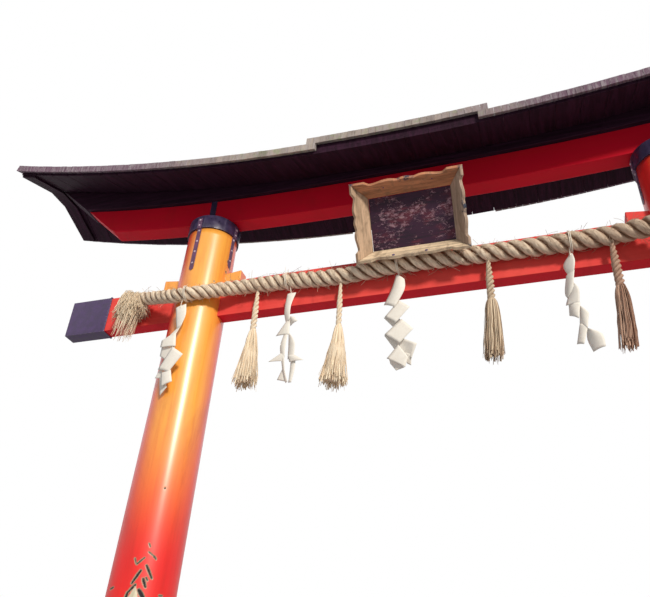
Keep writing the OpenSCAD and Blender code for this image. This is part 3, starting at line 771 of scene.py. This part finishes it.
def bare_board(name, upright, tint, kept):
    """A frame board's wood, and how much of the old paint it has kept on its rim."""
    material, place = finish(name)
    spot = in_plaque(place)
    grain = (16.0, 1.2, 16.0) if upright else (1.2, 16.0, 16.0)
    lines = use(place, timber_grain, Vector=stretched(spot, grain), Fineness=1.1)
    parts = step("SeparateXYZ", spot)
    along = abs(parts["Y"] / half_high if upright else parts / half_wide)
    near_rim = rise(parts["Z"] + mottle(spot, 30.0) * 0.02, -0.022, -0.004)
    ear = work_out("MAXIMUM", rise(along, 0.92, 1.02), rise(along, 0.20, 0.12))
    old_paint = near_rim * ear * rise(mottle(spot, 45.0, 6.0, 0.7), 0.42, 0.56)
    colour = layers(
        tint,
        (rise(lines["Tone"], 0.38, 0.66), [0.48 * c for c in tint]),
        (use(place, grime, Size=16.0, Amount=0.6, Lies_On_Top=0.2), (0.20, 0.13, 0.08)),
        (old_paint * kept, (0.035, 0.045, 0.075)),
        (use(place, worn_edge, Reach=0.004, Breakup=30.0, Amount=0.9), (0.72, 0.64, 0.52)))
    return cover(material, Specular_IOR_Level=0.25, Base_Color=colour, Roughness=0.72,
                 Normal=lifted(lines["Height"], 0.8, 0.003))


# The four boards are one wood, tinted apart as lit and shaded copies: the bottom one is painted a pale cream
# for the light on it, the top and right ones darker: painted light and shade
for side, upright, tint, kept in (
        ("top", False, (0.62, 0.27, 0.14), 1.0), ("bottom", False, sunlit_cream, 0.3),
        ("left", True, (0.66, 0.46, 0.31), 0.2), ("right", True, (0.52, 0.38, 0.29), 1.0)):
    eased("plaque_frame_" + side, bare_board("frame_" + side, upright, tint, kept), width=0.0025)
coated(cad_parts["plaque_hooks"].data, strap_metal)

# Nails in the splayed boards: across the plaque, share of the board's width out from the panel
panel_half_high = 0.158
board_wide = 0.064
board_rise = 0.102
board_faces_in = 0.847
board_faces_out = 0.531
nails = []
for across, share, way in ((-0.110, 0.85, -1), (0.079, 0.85, -1), (-0.134, 0.57, 1), (0.150, 0.60, 1)):
    spot = Vector((across, way * (panel_half_high + board_wide * share), board_rise * (share - 1.0)))
    out = Vector((0.0, -way * board_faces_in, board_faces_out))
    nails.append((plaque_place @ spot, plaque_place.to_3x3() @ out))
heads("plaque_foot_nails", nails[:2], radius=0.0095, height=0.006, metal=cap_metal)
heads("plaque_top_nails", nails[2:], radius=0.0045, height=0.003, metal=strap_metal)

panel_paint, place = finish("panel_paint")
spot = in_plaque(place)
lines = use(place, timber_grain, Vector=stretched(spot, (1.4, 16.0, 16.0)), Fineness=1.0)
patchy = rise(mottle(spot, 7.0, 4.0, 0.6), 0.36, 0.58, 0.0, 0.12)
specks = rise(mottle(stretched(spot, (0.75, 1.3, 1.0)), 46.0, 8.0, 0.85) + patchy, 0.635, 0.66)
flakes = rise(mottle(stretched(spot, (0.8, 1.2, 1.0)), 13.0, 8.0, 0.75, 0.4), 0.62, 0.66)
panel = layers(
    (0.034, 0.008, 0.028),
    (rise(mottle(spot, 8.0, 5.0, 0.6), 0.46, 0.62), (0.095, 0.016, 0.032)),
    (rise(lines["Tone"], 0.48, 0.60), (0.016, 0.005, 0.016)),
    (specks * 0.75, (0.40, 0.24, 0.30)),
    (flakes * 0.75, (0.48, 0.29, 0.31)))
cover(panel_paint, Specular_IOR_Level=0.3, Roughness=0.6, Base_Color=panel,
      Normal=lifted(lines["Height"] - (specks + flakes), 0.6, 0.002))
eased("plaque_panel", panel_paint, width=0.002)


# Rope
# Three strands of rice straw are laid into a rope that is thin at the left and thick at the
# right. It lies on the tie beam's front and bows out round the front of both pillars.
def straw_finish(name, dark, light, shade, browner=0.0):
    """Straw of every tone from dark to light, with darker fibres; browner towards the right."""
    material, place = finish(name)
    way = step("Attribute", tree=place.tree, attribute_name="fibre")["Vector"]
    fibres = mottle(way, 1.0, 5.0, 0.75)
    colour = layers(
        dark,
        (attribute(place, "tone"), light),
        (rise(fibres, 0.50, 0.68) * 0.75, shade),
        (rise(mottle(place, 14.0, 5.0, 0.7), 0.50, 0.75) * 0.25, (0.36, 0.25, 0.18)),
        (rise(step("SeparateXYZ", place), 0.0, 1.2, 0.0, browner), (0.34, 0.20, 0.13)))
    return cover(material, Specular_IOR_Level=0.3, Roughness=0.75, Base_Color=colour,
                 Normal=lifted(fibres, 1.0, 0.004))


rope_straw = straw_finish("rope_straw", (0.20, 0.10, 0.055), (0.98, 0.84, 0.66), (0.52, 0.34, 0.22), 0.45)

# The rope lies against a pillar's front as far as its wrap and its free end, reaches over
# beyond it, and bends back to the beam inside it
post_at = post_spacing / 2 - tie_foot * tan(post_lean)
post_r = (post_foot - (post_foot - post_head) * tie_foot * cos(post_lean) / post_high) / 2
wrap = 0.54 * post_r
over = 0.357
bend = 0.340
free = 0.61 * wrap
inside = post_at - wrap
# Places on the route of the rope's middle, from each end inwards and then between: how far
# along, height over the beam's underside and radius, these two in millimetres
left_heights = [155, 119, 93, 81, 77, 76, 77, 81, 88, 117, 141, 154, 157]
right_heights = [156, 124, 100, 88, 84, 82, 83, 87, 93, 119, 135, 140, 141]
left_radii = [44] * 8 + [45, 46, 47, 48, 49]
right_radii = [55] * 9 + [56] * 4
from_end = [post_at + over, post_at + 0.6 * over, post_at + 0.3 * over, post_at + free, post_at + free / 2,
            post_at, post_at - 0.33 * wrap, post_at - 0.67 * wrap, inside, inside - 0.27 * bend,
            inside - 0.53 * bend, inside - 0.8 * bend, inside - bend]
middle_part = [(-0.523, 147, 50), (-0.405, 134, 51), (-0.286, 131, 51), (-0.181, 144, 52), (-0.077, 154, 52),
               (0.133, 149, 53), (0.335, 143, 54), (0.495, 139, 55)]
rope_route = ([(-x, high, r) for x, high, r in zip(from_end, left_heights, left_radii)]
              + [(share * post_at, high, r) for share, high, r in middle_part]
              + [(x, high, r) for x, high, r in zip(from_end, right_heights, right_radii)][::-1])
beam_half = 0.0435
hang_gap = 0.0003


def along_route(x, column):
    """A height or radius of the route between its places, in metres."""
    for before, after in zip(rope_route, rope_route[1:]):
        if x <= after[0] or after == rope_route[-1]:
            share = share_of((x - before[0]) / (after[0] - before[0]))
            return ((1 - share) * before[column] + share * after[column]) / 1000.0


def rope_middle(x):
    """The rope's middle line and its radius at a place along the beams."""
    radius = along_route(x, 2)
    on_beam = beam_half + radius + hang_gap
    bow = post_r + radius + 4 * hang_gap
    off = abs(x) - post_at
    edge = min(max(off, -wrap), free)
    near = sqrt(bow * bow - edge * edge)
    fall = edge / near
    t = min(1.0, (-wrap - off) / bend)
    if off > free:
        out = max(on_beam, near - fall * (off - free))
    elif off > -wrap:
        out = near
    else:
        out = (near * (2 * t ** 3 - 3 * t * t + 1) + bend * fall * (t ** 3 - 2 * t * t + t)
               + on_beam * (3 * t * t - 2 * t ** 3))
    return Vector((x, -out, tie_foot + along_route(x, 1))), radius


samples = 460
ends = post_at + over
route = [rope_middle(-ends + 2 * ends * i / samples) for i in range(samples + 1)]
# The route is smoothed a few times, so that no bend has a corner
for _ in range(6):
    points = [p for p, _ in route]
    smooth = [points[0]] + [(points[i - 1] + 2 * points[i] + points[i + 1]) / 4
                            for i in range(1, samples)] + [points[-1]]
    route = [(p, r) for p, (_, r) in zip(smooth, route)]
lengths = [0.0]
for (a, _), (b, _) in zip(route, route[1:]):
    lengths.append(lengths[-1] + (b - a).length)


def at_length(s):
    """Place, way ahead and radius of the rope's middle at a length from its left end."""
    i = min(max(next((k for k, v in enumerate(lengths) if v >= s), samples) - 1, 0), samples - 1)
    share = (s - lengths[i]) / (lengths[i + 1] - lengths[i])
    (a, ra), (b, rb) = route[i], route[i + 1]
    return a.lerp(b, share), (b - a).normalized(), ra + (rb - ra) * share


def about(ahead):
    """Two ways square to a line: to the front and up."""
    toward = Vector((0.0, -1.0, 0.0))
    toward = (toward - ahead * toward.dot(ahead)).normalized()
    return toward, ahead.cross(toward).normalized()


def tube(rings):
    """Faces of a tube from its rings of point numbers, with closed ends."""
    faces = []
    for a, b in zip(rings, rings[1:]):
        n = len(a)
        faces += [(a[j], b[j], b[(j + 1) % n], a[(j + 1) % n]) for j in range(n)]
    return faces + [tuple(rings[0]), tuple(reversed(rings[-1]))]


def turns_of(count):
    return [2 * pi * j / count for j in range(count)]


def next_ring(points, count):
    """The numbers that the next points will have."""
    return list(range(len(points), len(points) + count))


points, faces, tones, fibre_ways, strand_ways = [], [], [], [], []
rope_long = lengths[-1]
steps = 880
strand_sides = 26
strand_out = 0.535
strand_r = 0.462
for strand in range(3):
    rings, angle = [], 2 * pi * strand / 3
    for i in range(steps + 1):
        s = rope_long * i / steps
        middle, ahead, radius = at_length(s)
        # A strand goes once round in 1.64 diameters at the left, in 2.10 from near the middle on
        lay = (1.64 + 0.46 * share_of((middle.x + 0.75) / 0.6)) * 2 * radius
        toward, upward = about(ahead)
        angle += 2 * pi * (rope_long / steps) / lay
        slant = atan2(2 * pi * 0.53 * radius, lay)
        out = toward * cos(angle) + upward * sin(angle)
        around = upward * cos(angle) - toward * sin(angle)
        forward = (ahead * cos(slant) + around * sin(slant)).normalized()
        across = forward.cross(out).normalized()
        thick = strand_r * radius * (1 + 0.07 * noise.noise(Vector((s * 9.0, strand * 9.0, 0.0))))
        centre = middle + out * (strand_out * radius)
        rings.append(next_ring(points, strand_sides))
        for a in turns_of(strand_sides):
            side, up = cos(a - s * 10.0), sin(a - s * 10.0)
            bundle = noise.noise(Vector((s * 6.0, 2.6 * side + strand * 5, 2.6 * up)))
            fine = noise.noise(Vector((s * 14.0, 7 * side, 7 * up + strand * 7)))
            r = thick * (1 + 0.075 * bundle + 0.05 * fine)
            points.append(centre + (out * cos(a) + across * sin(a)) * r)
            # A strand is painted darker where it turns in towards the others: painted shade in the grooves
            groove_shade = max(0.0, 0.76 - cos(a)) * 2.1
            tones.append(share_of(0.84 + 0.4 * bundle + 0.4 * fine - groove_shade))
            fibre_ways.append((s * 14.0 + strand * 40.0, 8.0 * side, 8.0 * up))
            strand_ways.append(forward)
    faces += tube(rings)
strands = skin("rope_strands", points, faces, rope_straw, tone=tones, fibre=fibre_ways, lying=strand_ways)
rope = fixed(shown("rope_strands", strands), "rope")


# Loose straws
# Cut ends and broken straws lie along every strand of the rope and stand off it, and some
# hang from its underside.
loose_straws, given, gives = group(
    "Geometry", "loose_straws", ["Straws"], Rope="Geometry", Per_Square_Metre=4000.0, Straw_Length=0.05,
    Straw_Radius=0.0007, Bow=0.006, Tilt=0.3, Seed=1, Straw="Material")
seed = given["Seed"]
spots = step("GeometryNodeDistributePointsOnFaces", Mesh=given["Rope"], Density=given["Per Square Metre"],
             Seed=seed)


def straw_of(radius, sides, **line):
    """One straw: a thin round tube along a bent line."""
    bent = step("GeometryNodeCurvePrimitiveBezierSegment", **line)
    rim = step("GeometryNodeCurvePrimitiveCircle", Resolution=sides, Radius=radius)
    return step("GeometryNodeCurveToMesh", Curve=bent, Profile_Curve=rim, Fill_Caps=True)


def loose_turn(tilt, seed, number):
    """A turn all round and a lean of up to the tilt either way, for each straw by itself."""
    leans = [chance(-tilt, tilt, seed, number + i) for i in range(2)]
    return step("FunctionNodeEulerToRotation", vector_of(*leans, chance(0.0, 2 * pi, seed, number + 2)))


half = given["Straw Length"] * 0.5
bow = vector_of(given["Bow"], 0.0, 0.0)
one = straw_of(given["Straw Radius"], 3, Start=vector_of(0.0, 0.0, -half), Start_Handle=bow, End_Handle=bow,
               End=vector_of(0.0, given["Bow"] * 0.6, half), Resolution=4)
way = step("GeometryNodeInputNamedAttribute", tree=loose_straws, data_type="FLOAT_VECTOR", Name="lying")
along = step("FunctionNodeAlignRotationToVector", Vector=way["Attribute"], axis="Z")
shake = loose_turn(given["Tilt"], seed, 1)
turned = step("FunctionNodeRotateRotation", Rotation=along, Rotate_By=shake, rotation_space="LOCAL")
laid = step("GeometryNodeInstanceOnPoints", Points=spots, Instance=one, Rotation=turned,
            Scale=vector_of(1.0, 1.0, chance(0.4, 1.3, seed, 4)))
hand_on(gives["Straws"], toned(laid, seed, 5), given["Straw"])

lying_straws = grown("rope_lying_straws", strands.copy(), loose_straws, per_square_metre=1500.0,
                     straw_length=0.032, straw_radius=0.0007, bow=0.002, tilt=0.25, seed=3, straw=rope_straw)
hanging_straws = grown("rope_hanging_straws", strands.copy(), loose_straws, per_square_metre=420.0,
                       straw_length=0.095, straw_radius=0.0009, bow=0.022, tilt=1.2, seed=8, straw=rope_straw)
for straws in (lying_straws, hanging_straws):
    fixed(straws)
[tuple(p) for p, _ in route[::6]] + [tuple(route[-1][0])]


# Tassels and tufts
# A tassel is a bunch of straw with a twisted neck that hangs from the rope, and the rope's own
# ends are left long and burst open: every straw starts together and they part as they fall.
bunch_of_straw, given, gives = group(
    "Geometry", "bunch_of_straw", ["Bunch"], Start="Geometry", Straws=300, Top=(0.0, 0.0, 0.0), Neck=0.012,
    Shoulder=0.05, Rise=0.0, Skirt=0.075, Shoulder_Drop=0.06, Length=0.4, Uneven=0.06, Straw_Radius=0.0013,
    Lean=(0.0, 0.0, 0.0), Spread=0.04, Curl=0.02, Seed=1, Straw="Material")
# One straw, from the neck out over the shoulder and down to the skirt's edge
one = straw_of(
    given["Straw Radius"], 4, Start=vector_of(given["Neck"], 0.0, 0.0), Resolution=9,
    Start_Handle=vector_of(given["Shoulder"], 0.0, given["Rise"]),
    End_Handle=vector_of(given["Shoulder"], 0.0, -given["Shoulder Drop"]),
    End=vector_of(given["Skirt"], 0.0, -given["Length"]))
together = step("GeometryNodeMeshLine", mode="OFFSET", Count=given["Straws"], Offset=(0.0, 0.0, 0.0))
seed = given["Seed"]
reach = chance(0.03, 1.0, seed, 2) ** 0.3
drop = chance(-given["Uneven"], given["Uneven"], seed, 3) + 1.0
turned = loose_turn(given["Spread"], seed, 4)
laid = step("GeometryNodeInstanceOnPoints", Points=together, Instance=one, Rotation=turned,
            Scale=vector_of(reach, 1.0, drop))
real = step("GeometryNodeRealizeInstances", Geometry=toned(laid, seed, 7))


def added(way, other):
    return step("VectorMath", way, other, operation="ADD")


def scaled(way, share):
    return step("VectorMath", way, operation="SCALE", Scale=share)


spot = step("GeometryNodeInputPosition", tree=bunch_of_straw)
depth = step("SeparateXYZ", spot)["Z"] / given["Length"]
waves = step("TexNoise", Vector=spot, Scale=34.0, Detail=1.5)["Color"]
waves = scaled(step("VectorMath", waves, (0.5, 0.5, 0.5), operation="SUBTRACT"), abs(depth) * given["Curl"])
spot = added(added(added(spot, scaled(given["Lean"], depth * depth)), waves), given["Top"])
placed = step("GeometryNodeSetPosition", real, Position=spot)
feed(gives["Bunch"], step("GeometryNodeSetMaterial", Geometry=placed, Material=given["Straw"]))


def bunch(name, **sizes):
    return grown(name, skin(name + "_start", [(0, 0, 0)], []), bunch_of_straw, **sizes)


def joined(name, pieces, material):
    """One smooth mesh from several pieces, in place."""
    work = bmesh.new()
    for piece in pieces:
        work.from_mesh(piece.data)
        bpy.data.objects.remove(piece)
    mesh = bpy.data.meshes.new(name)
    work.to_mesh(mesh)
    work.free()
    mesh.materials.append(material)
    mesh.shade_smooth()
    return shown(name, mesh)


neck_steps = 70
neck_sides = 9
heart_sides = 20
neck_twists = 3.2


def twisted_neck(name, top, foot, thin, thick, twists, straw):
    """Three thin strands laid together, thinnest where they are tied on."""
    points, faces, tones, fibre_ways = [], [], [], []
    for strand in range(3):
        rings = []
        for i in range(neck_steps + 1):
            share = i / neck_steps
            wide = thin + (thick - thin) * min(1.0, share / 0.45)
            turn = 2 * pi * (strand / 3 - twists * share)
            centre = top.lerp(foot, share) + Vector((cos(turn), sin(turn), 0.0)) * wide * 0.5
            rings.append(next_ring(points, neck_sides))
            for a in turns_of(neck_sides):
                rough = noise.noise(Vector((share * 30, strand * 3.0 + cos(a), sin(a))))
                points.append(centre + Vector((cos(a), sin(a), 0.0)) * wide * (0.56 + 0.08 * rough))
                # A strand is painted darker where it turns in towards the others: painted shade
                tones.append(0.70 + 0.4 * rough - max(0.0, 0.5 - cos(a - turn)) * 0.5)
                twist = a + share * 9
                fibre_ways.append((share * 5.0, 5 * cos(twist), 5 * sin(twist) + strand))
        faces += [tuple(reversed(f)) for f in tube(rings)]
    return shown(name, skin(name, points, faces, straw, tone=tones, fibre=fibre_ways))


def heart(name, top, shoulder, foot_r, skirt, drift, straw, tone):
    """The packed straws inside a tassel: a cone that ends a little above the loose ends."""
    rings, points, fibre_ways = [], [], []
    for wide, share in ((0.02, 0.0), (0.30, 0.10), (0.65, 0.50), (0.78, 0.95), (0.0001, 0.96)):
        radius = wide * (shoulder if share < 0.2 else foot_r)
        rings.append(next_ring(points, heart_sides))
        for a in turns_of(heart_sides):
            points.append(top + Vector((radius * cos(a) + drift * share * share, radius * sin(a),
                                        -skirt * share)))
            fibre_ways.append((share * 2.0, 9.0 * cos(a) * (0.3 + wide), 9.0 * sin(a) * (0.3 + wide)))
    faces = [tuple(reversed(f)) for f in tube(rings)]
    return shown(name, skin(name, points, faces, straw, tone=[tone] * len(points), fibre=fibre_ways))


tassel_straw = straw_finish("tassel_straw", (0.74, 0.57, 0.40), (0.98, 0.88, 0.70), (0.56, 0.41, 0.28))
grey_straw = straw_finish("grey_straw", (0.30, 0.20, 0.13), (0.80, 0.66, 0.49), (0.26, 0.17, 0.11))
brown_straw = straw_finish("brown_straw", (0.26, 0.14, 0.095), (0.64, 0.43, 0.32), (0.24, 0.13, 0.095))

# Place along the rope, length of neck, radius of neck, length of skirt, its radius at the
# shoulder and at the foot, how far the foot drifts sideways, straw, its cords, the heart's tone
# The grey and brown tassels' hearts get a low tone, so that they show dark between the cords: painted shade
tassel_sizes = [
    (-0.689, 0.283, 0.018, 0.350, 0.030, 0.068, -0.010, tassel_straw, 95, 0.50),
    (-0.3176, 0.296, 0.016, 0.362, 0.028, 0.080, -0.016, tassel_straw, 95, 0.50),
    (0.2799, 0.262, 0.021, 0.350, 0.040, 0.048, -0.012, grey_straw, 62, 0.30),
    (0.7295, 0.270, 0.023, 0.355, 0.040, 0.040, -0.016, brown_straw, 56, 0.30)]
for number, sizes in enumerate(tassel_sizes):
    share, neck, neck_r, skirt, shoulder_r, foot_r, drift, straw, cords, tone = sizes
    name = "tassel_" + str(number + 1)
    middle, radius = rope_middle(share * post_at)
    top = middle + Vector((0.0, 0.0, -radius + 0.012))
    foot = top + Vector((0.0, 0.0, -neck))
    common = {"top": foot, "neck": neck_r * 0.6, "shoulder": shoulder_r, "rise": -0.03, "shoulder_drop": 0.09,
              "lean": (drift, 0.0, 0.0), "straw": straw, "length": skirt}
    # A neck, thick cords of straw, fine loose straws and a packed heart
    made = joined(name + "_straw", [
        twisted_neck(name + "_neck", top, foot + Vector((0.0, 0.0, -0.03)), neck_r * 0.45, neck_r,
                     neck_twists, straw),
        bunch(name + "_cords", straws=cords, straw_radius=0.0032, skirt=foot_r * 0.95,
              uneven=0.06, spread=0.020, curl=0.034, seed=40 + number, **common),
        bunch(name + "_fine", straws=110, straw_radius=0.0012, skirt=foot_r,
              uneven=0.09, spread=0.03, curl=0.03, seed=80 + number, **common),
        heart(name + "_heart", foot, shoulder_r, foot_r, skirt, drift, straw, tone)], straw)
    fixed(made, name)

for side, name in both_sides:
    middle = rope_middle(side * ends)[0]
    common = {"straw": tassel_straw, "straw_radius": 0.0011}
    # The straws part at the root, burst open beyond it, and a few hang down in a tail
    made = joined("rope_tuft_straw_" + name, [
        bunch("rope_tuft_root_" + name, straws=420, top=middle + Vector((side * 0.015, 0, 0)),
              neck=0.010, shoulder=0.055, rise=0.045, skirt=0.050, shoulder_drop=-0.01, length=0.100,
              uneven=0.30, spread=0.35, curl=0.06, seed=60 + side, **common),
        bunch("rope_tuft_burst_" + name, straws=560, top=middle + Vector((side * 0.075, 0, 0)),
              neck=0.012, shoulder=0.080, rise=0.065, skirt=0.068, shoulder_drop=-0.02, length=0.120,
              uneven=0.30, spread=0.30, curl=0.08, lean=(side * 0.012, 0, 0), seed=64 + side, **common),
        bunch("rope_tuft_tail_" + name, straws=90, top=middle + Vector((side * 0.060, 0, 0)),
              neck=0.02, shoulder=0.065, rise=0.03, skirt=0.060, shoulder_drop=0.02, length=0.262,
              uneven=0.14, spread=0.06, curl=0.03, lean=(side * 0.020, -0.01, 0), seed=70 + side, **common)],
        tassel_straw)
    fixed(made, "rope_tuft_" + name)


# Paper streamers
# Each streamer is white paper, cut and folded over into squares that hang from one another,
# tied to the rope with white string. Wind and rain have curled each one its own way.
paper, place = finish("paper")
creased = mottle(place, 60.0, 5.0, 0.65)
cover(paper, Specular_IOR_Level=0.3, Roughness=0.75, Normal=lifted(creased, 0.12, 0.002),
      Base_Color=between(rise(creased, 0.4, 0.7), (0.89, 0.86, 0.80), (0.85, 0.81, 0.74)))
string, place = finish("string")
cover(string, Specular_IOR_Level=0.3, Roughness=0.8,
      Base_Color=between(mottle(place, 300.0), (0.80, 0.72, 0.60), (0.92, 0.87, 0.78)))


def eased_line(places, pieces):
    """A soft line through a few places, each (across, out, down)."""
    if len(places) == 2:
        return [Vector(places[0]).lerp(Vector(places[1]), i / pieces) for i in range(pieces + 1)]
    line = []
    p = [Vector(q) for q in (places[0], *places, places[-1])]
    for k in range(1, len(p) - 2):
        for i in range(pieces + (1 if k == len(p) - 3 else 0)):
            t = i / pieces
            line.append(0.5 * ((2 * p[k]) + (p[k + 1] - p[k - 1]) * t
                               + (2 * p[k - 1] - 5 * p[k] + 4 * p[k + 1] - p[k + 2]) * t * t
                               + (3 * p[k] - p[k - 1] - 3 * p[k + 1] + p[k + 2]) * t ** 3))
    return line


def leaf(left, right, bow, points, faces):
    """Paper between a left and a right edge, bowed out across its middle."""
    pieces = max(1, 8 // (len(left) - 1))
    left = eased_line(left, pieces)
    right = eased_line(right, pieces)
    rows = len(left)
    columns = 7
    start = len(points)
    for i in range(rows):
        for j in range(columns):
            t = j / (columns - 1)
            p = left[i].lerp(right[i], t)
            p.y -= bow * sin(pi * t) * (0.4 + 0.6 * sin(pi * (i + 0.5) / rows))
            points.append(p)
    for i in range(rows - 1):
        for j in range(columns - 1):
            k = start + i * columns + j
            faces.append((k, k + columns, k + columns + 1, k + 1))


string_sides = 6


def wound(places, radius, name):
    """String along a line of places."""
    points, rings = [], []
    for i, p in enumerate(places):
        ahead = (places[min(i + 1, len(places) - 1)] - places[max(i - 1, 0)]).normalized()
        one = ahead.orthogonal().normalized() if i == 0 else (one - ahead * one.dot(ahead)).normalized()
        other = ahead.cross(one)
        rings.append(next_ring(points, string_sides))
        points += [p + (one * cos(a) + other * sin(a)) * radius for a in turns_of(string_sides)]
    return shown(name, skin(name, points, [tuple(reversed(f)) for f in tube(rings)]))


def tied(name, x, hole):
    """White string wound twice round the rope, knotted above the paper, with a short end hanging down."""
    middle, radius = rope_middle(x)
    ahead = (rope_middle(x + 0.01)[0] - rope_middle(x - 0.01)[0]).normalized()
    toward, upward = about(ahead)
    turns = [middle + ahead * (0.004 * (i / 12 - 2)) + (toward * sin(pi * i / 12)
             - upward * cos(pi * i / 12)) * (radius + 0.006) for i in range(49)]
    knot = turns[0]
    hung = [knot, knot + Vector((0.003, -0.004, -0.012)), hole + Vector((0.0, -0.002, 0.004)),
            hole + Vector((0.0, 0.004, -0.006))]
    end = [knot + Vector((-0.004, -0.003, 0.0)), knot + Vector((-0.010, -0.006, -0.020)),
           knot + Vector((-0.007, -0.006, -0.045))]
    fixed(joined(name, [
        wound(turns, 0.0026, name + "_turns"), wound(eased_line(hung, 5), 0.0024, name + "_hung"),
        wound(eased_line(end, 5), 0.0014, name + "_end")], string))


# Each streamer's place along the rope and its string's hole, then its squares: left edge and
# right edge from above and how far the square bows out. All but the first are millimetres
# from the knot, each place (across, out, down)
streamers = {
    "shide_1": (-0.983, (-20, -8, -50), [
        ([(-57, 0, -50), (-46, 6, -120), (-29, 10, -198)],
         [(12, -4, -32), (27, -10, -115), (3, -2, -190)], 6),
        ([(-25, 10, -190), (-113, 16, -276)], [(0, -2, -190), (-17, -4, -238)], 0),
        ([(-113, 6, -270), (-112, 2, -318)], [(-14, -12, -234), (0, -12, -330)], 6),
        ([(-108, 12, -310), (-121, 30, -360)], [(-4, -8, -326), (-48, 12, -416)], 0),
        ([(-17, -16, -334), (-92, -4, -470)], [(68, -26, -398), (-13, -14, -500)], 10),
        ([(-84, 4, -468), (-118, 22, -512)], [(-60, 0, -478), (-66, 10, -520)], 0),
        ([(-70, 2, -490), (-48, -8, -586)], [(2, -16, -488), (26, -20, -566)], 8),
        ([(-84, 12, -500), (-61, 20, -628)], [(-40, 0, -510), (-12, -2, -590)], 0)]),
    "shide_2": (-0.5506, (26, -3, -50), [
        ([(0, 0, -42), (-12, 6, -160), (6, 12, -250)],
         [(58, -6, -44), (36, -16, -140), (38, -20, -244)], 8),
        ([(30, -12, -214), (40, -2, -274)], [(70, -30, -232), (97, -40, -268)], 12),
        ([(8, 0, -240), (-52, 12, -322)], [(38, -14, -240), (40, -10, -336)], 8),
        ([(4, 4, -312), (-14, 2, -400), (-6, 12, -470)],
         [(32, -6, -316), (26, -16, -400), (22, -4, -480)], 6),
        ([(30, 4, -316), (34, 10, -400), (38, 6, -490)],
         [(50, -8, -336), (82, -18, -400), (82, -12, -486)], 6),
        ([(-6, 4, -446), (-86, 20, -484)], [(20, -6, -462), (12, 0, -500)], 4),
        ([(-2, 2, -470), (12, 12, -560), (40, 4, -640)],
         [(22, -8, -474), (32, -8, -560), (54, -2, -636)], 4),
        ([(40, 0, -470), (56, -8, -516)], [(82, -14, -474), (150, -34, -526)], 8),
        ([(58, 6, -492), (58, 6, -570), (56, 4, -640)],
         [(94, -12, -500), (92, -10, -570), (76, -4, -644)], 6),
        ([(10, 14, -540), (-22, 24, -604)], [(26, 10, -560), (42, 10, -630)], 4)]),
    "shide_3": (-0.076, (4, -3, -30), [
        ([(-12, 4, -12), (-44, 6, -120), (-88, 16, -205)],
         [(38, -8, -60), (40, -20, -140), (-18, -12, -245)], 16),
        ([(4, -4, -198), (-76, -6, -298)], [(70, -26, -264), (-10, -18, -350)], 6),
        ([(-40, 6, -262), (-84, 4, -298)], [(10, 2, -320), (-22, 18, -370)], 0),
        ([(18, -6, -324), (-76, -8, -412)], [(88, -28, -408), (10, -20, -484)], 6),
        ([(-46, 4, -384), (-80, 2, -414)], [(26, 2, -450), (-14, 20, -516)], 0),
        ([(-42, 0, -404), (22, 14, -530)], [(108, -34, -504), (74, -18, -584)], -12),
        ([(2, -12, -488), (-62, -10, -564)], [(58, -26, -578), (40, -18, -632)], 6),
        ([(-54, 2, -554), (-48, 16, -584)], [(36, -10, -628), (-14, 6, -634)], 0),
        ([(30, 4, -530), (46, 4, -600)], [(74, -12, -556), (70, -8, -620)], 0)]),
    "shide_4": (0.588, (-12, -4, -30), [
        ([(-12, 4, -22), (-54, 30, -74), (-35, 14, -156)],
         [(0, -10, -30), (6, -16, -82), (-6, -12, -142)], 6),
        ([(-48, 18, -150), (-67, 26, -250), (-58, 16, -294)],
         [(-4, -14, -140), (-18, -20, -216), (-22, -6, -250)], 10),
        ([(-22, 4, -214), (-60, 20, -296), (-72, 16, -336)],
         [(-18, -12, -216), (2, -26, -270), (-6, -14, -350)], 8),
        ([(-58, 14, -330), (-62, 22, -396)], [(-2, -16, -346), (-20, -10, -436)], 12),
        ([(-6, 2, -352), (-20, 12, -456)], [(30, -20, -414), (12, -10, -500)], 10),
        ([(-20, 8, -456), (-48, 20, -566)], [(18, -10, -480), (-16, -4, -582)], 8),
        ([(10, 6, -490), (4, 18, -548), (22, 12, -622)],
         [(26, -12, -506), (74, -28, -548), (80, -20, -614)], 14)]),
    "shide_5": (0.977, (0, -3, -30), [
        ([(-40, 4, -16), (-30, 6, -110), (10, 16, -190)],
         [(20, -8, -20), (40, -20, -130), (74, -12, -200)], 14),
        ([(0, -4, -190), (-70, -10, -262)], [(70, -22, -232), (0, -18, -318)], 6),
        ([(6, 4, -206), (60, 10, -262)], [(80, -6, -222), (78, 10, -290)], 0),
        ([(-10, -8, -300), (-78, -12, -376)], [(64, -26, -346), (-4, -20, -434)], 6),
        ([(0, 2, -320), (50, 12, -380)], [(76, -8, -340), (70, 12, -404)], 0),
        ([(-6, -10, -416), (-72, -12, -496)], [(70, -28, -466), (4, -20, -556)], -6),
        ([(-2, -6, -540), (-50, -4, -600)], [(60, -18, -560), (16, -10, -632)], 6)]),
}
paper_thick = 0.0012
for name, (share, hole, squares) in streamers.items():
    middle, radius = rope_middle(share * post_at)
    knot = middle + Vector((0.0, 0.0, -radius - hang_gap))
    points, faces = [], []
    for left, right, bow in squares:
        leaf(left, right, bow, points, faces)
    piece = shown(name + "_paper", skin(name + "_paper", [knot + p / 1000 for p in points], faces, paper))
    thick = piece.modifiers.new("thickness", "SOLIDIFY")
    thick.thickness = paper_thick
    thick.offset = 0.0
    fixed(piece, name)
    tied(name + "_string", share * post_at, knot + Vector(hole) / 1000)
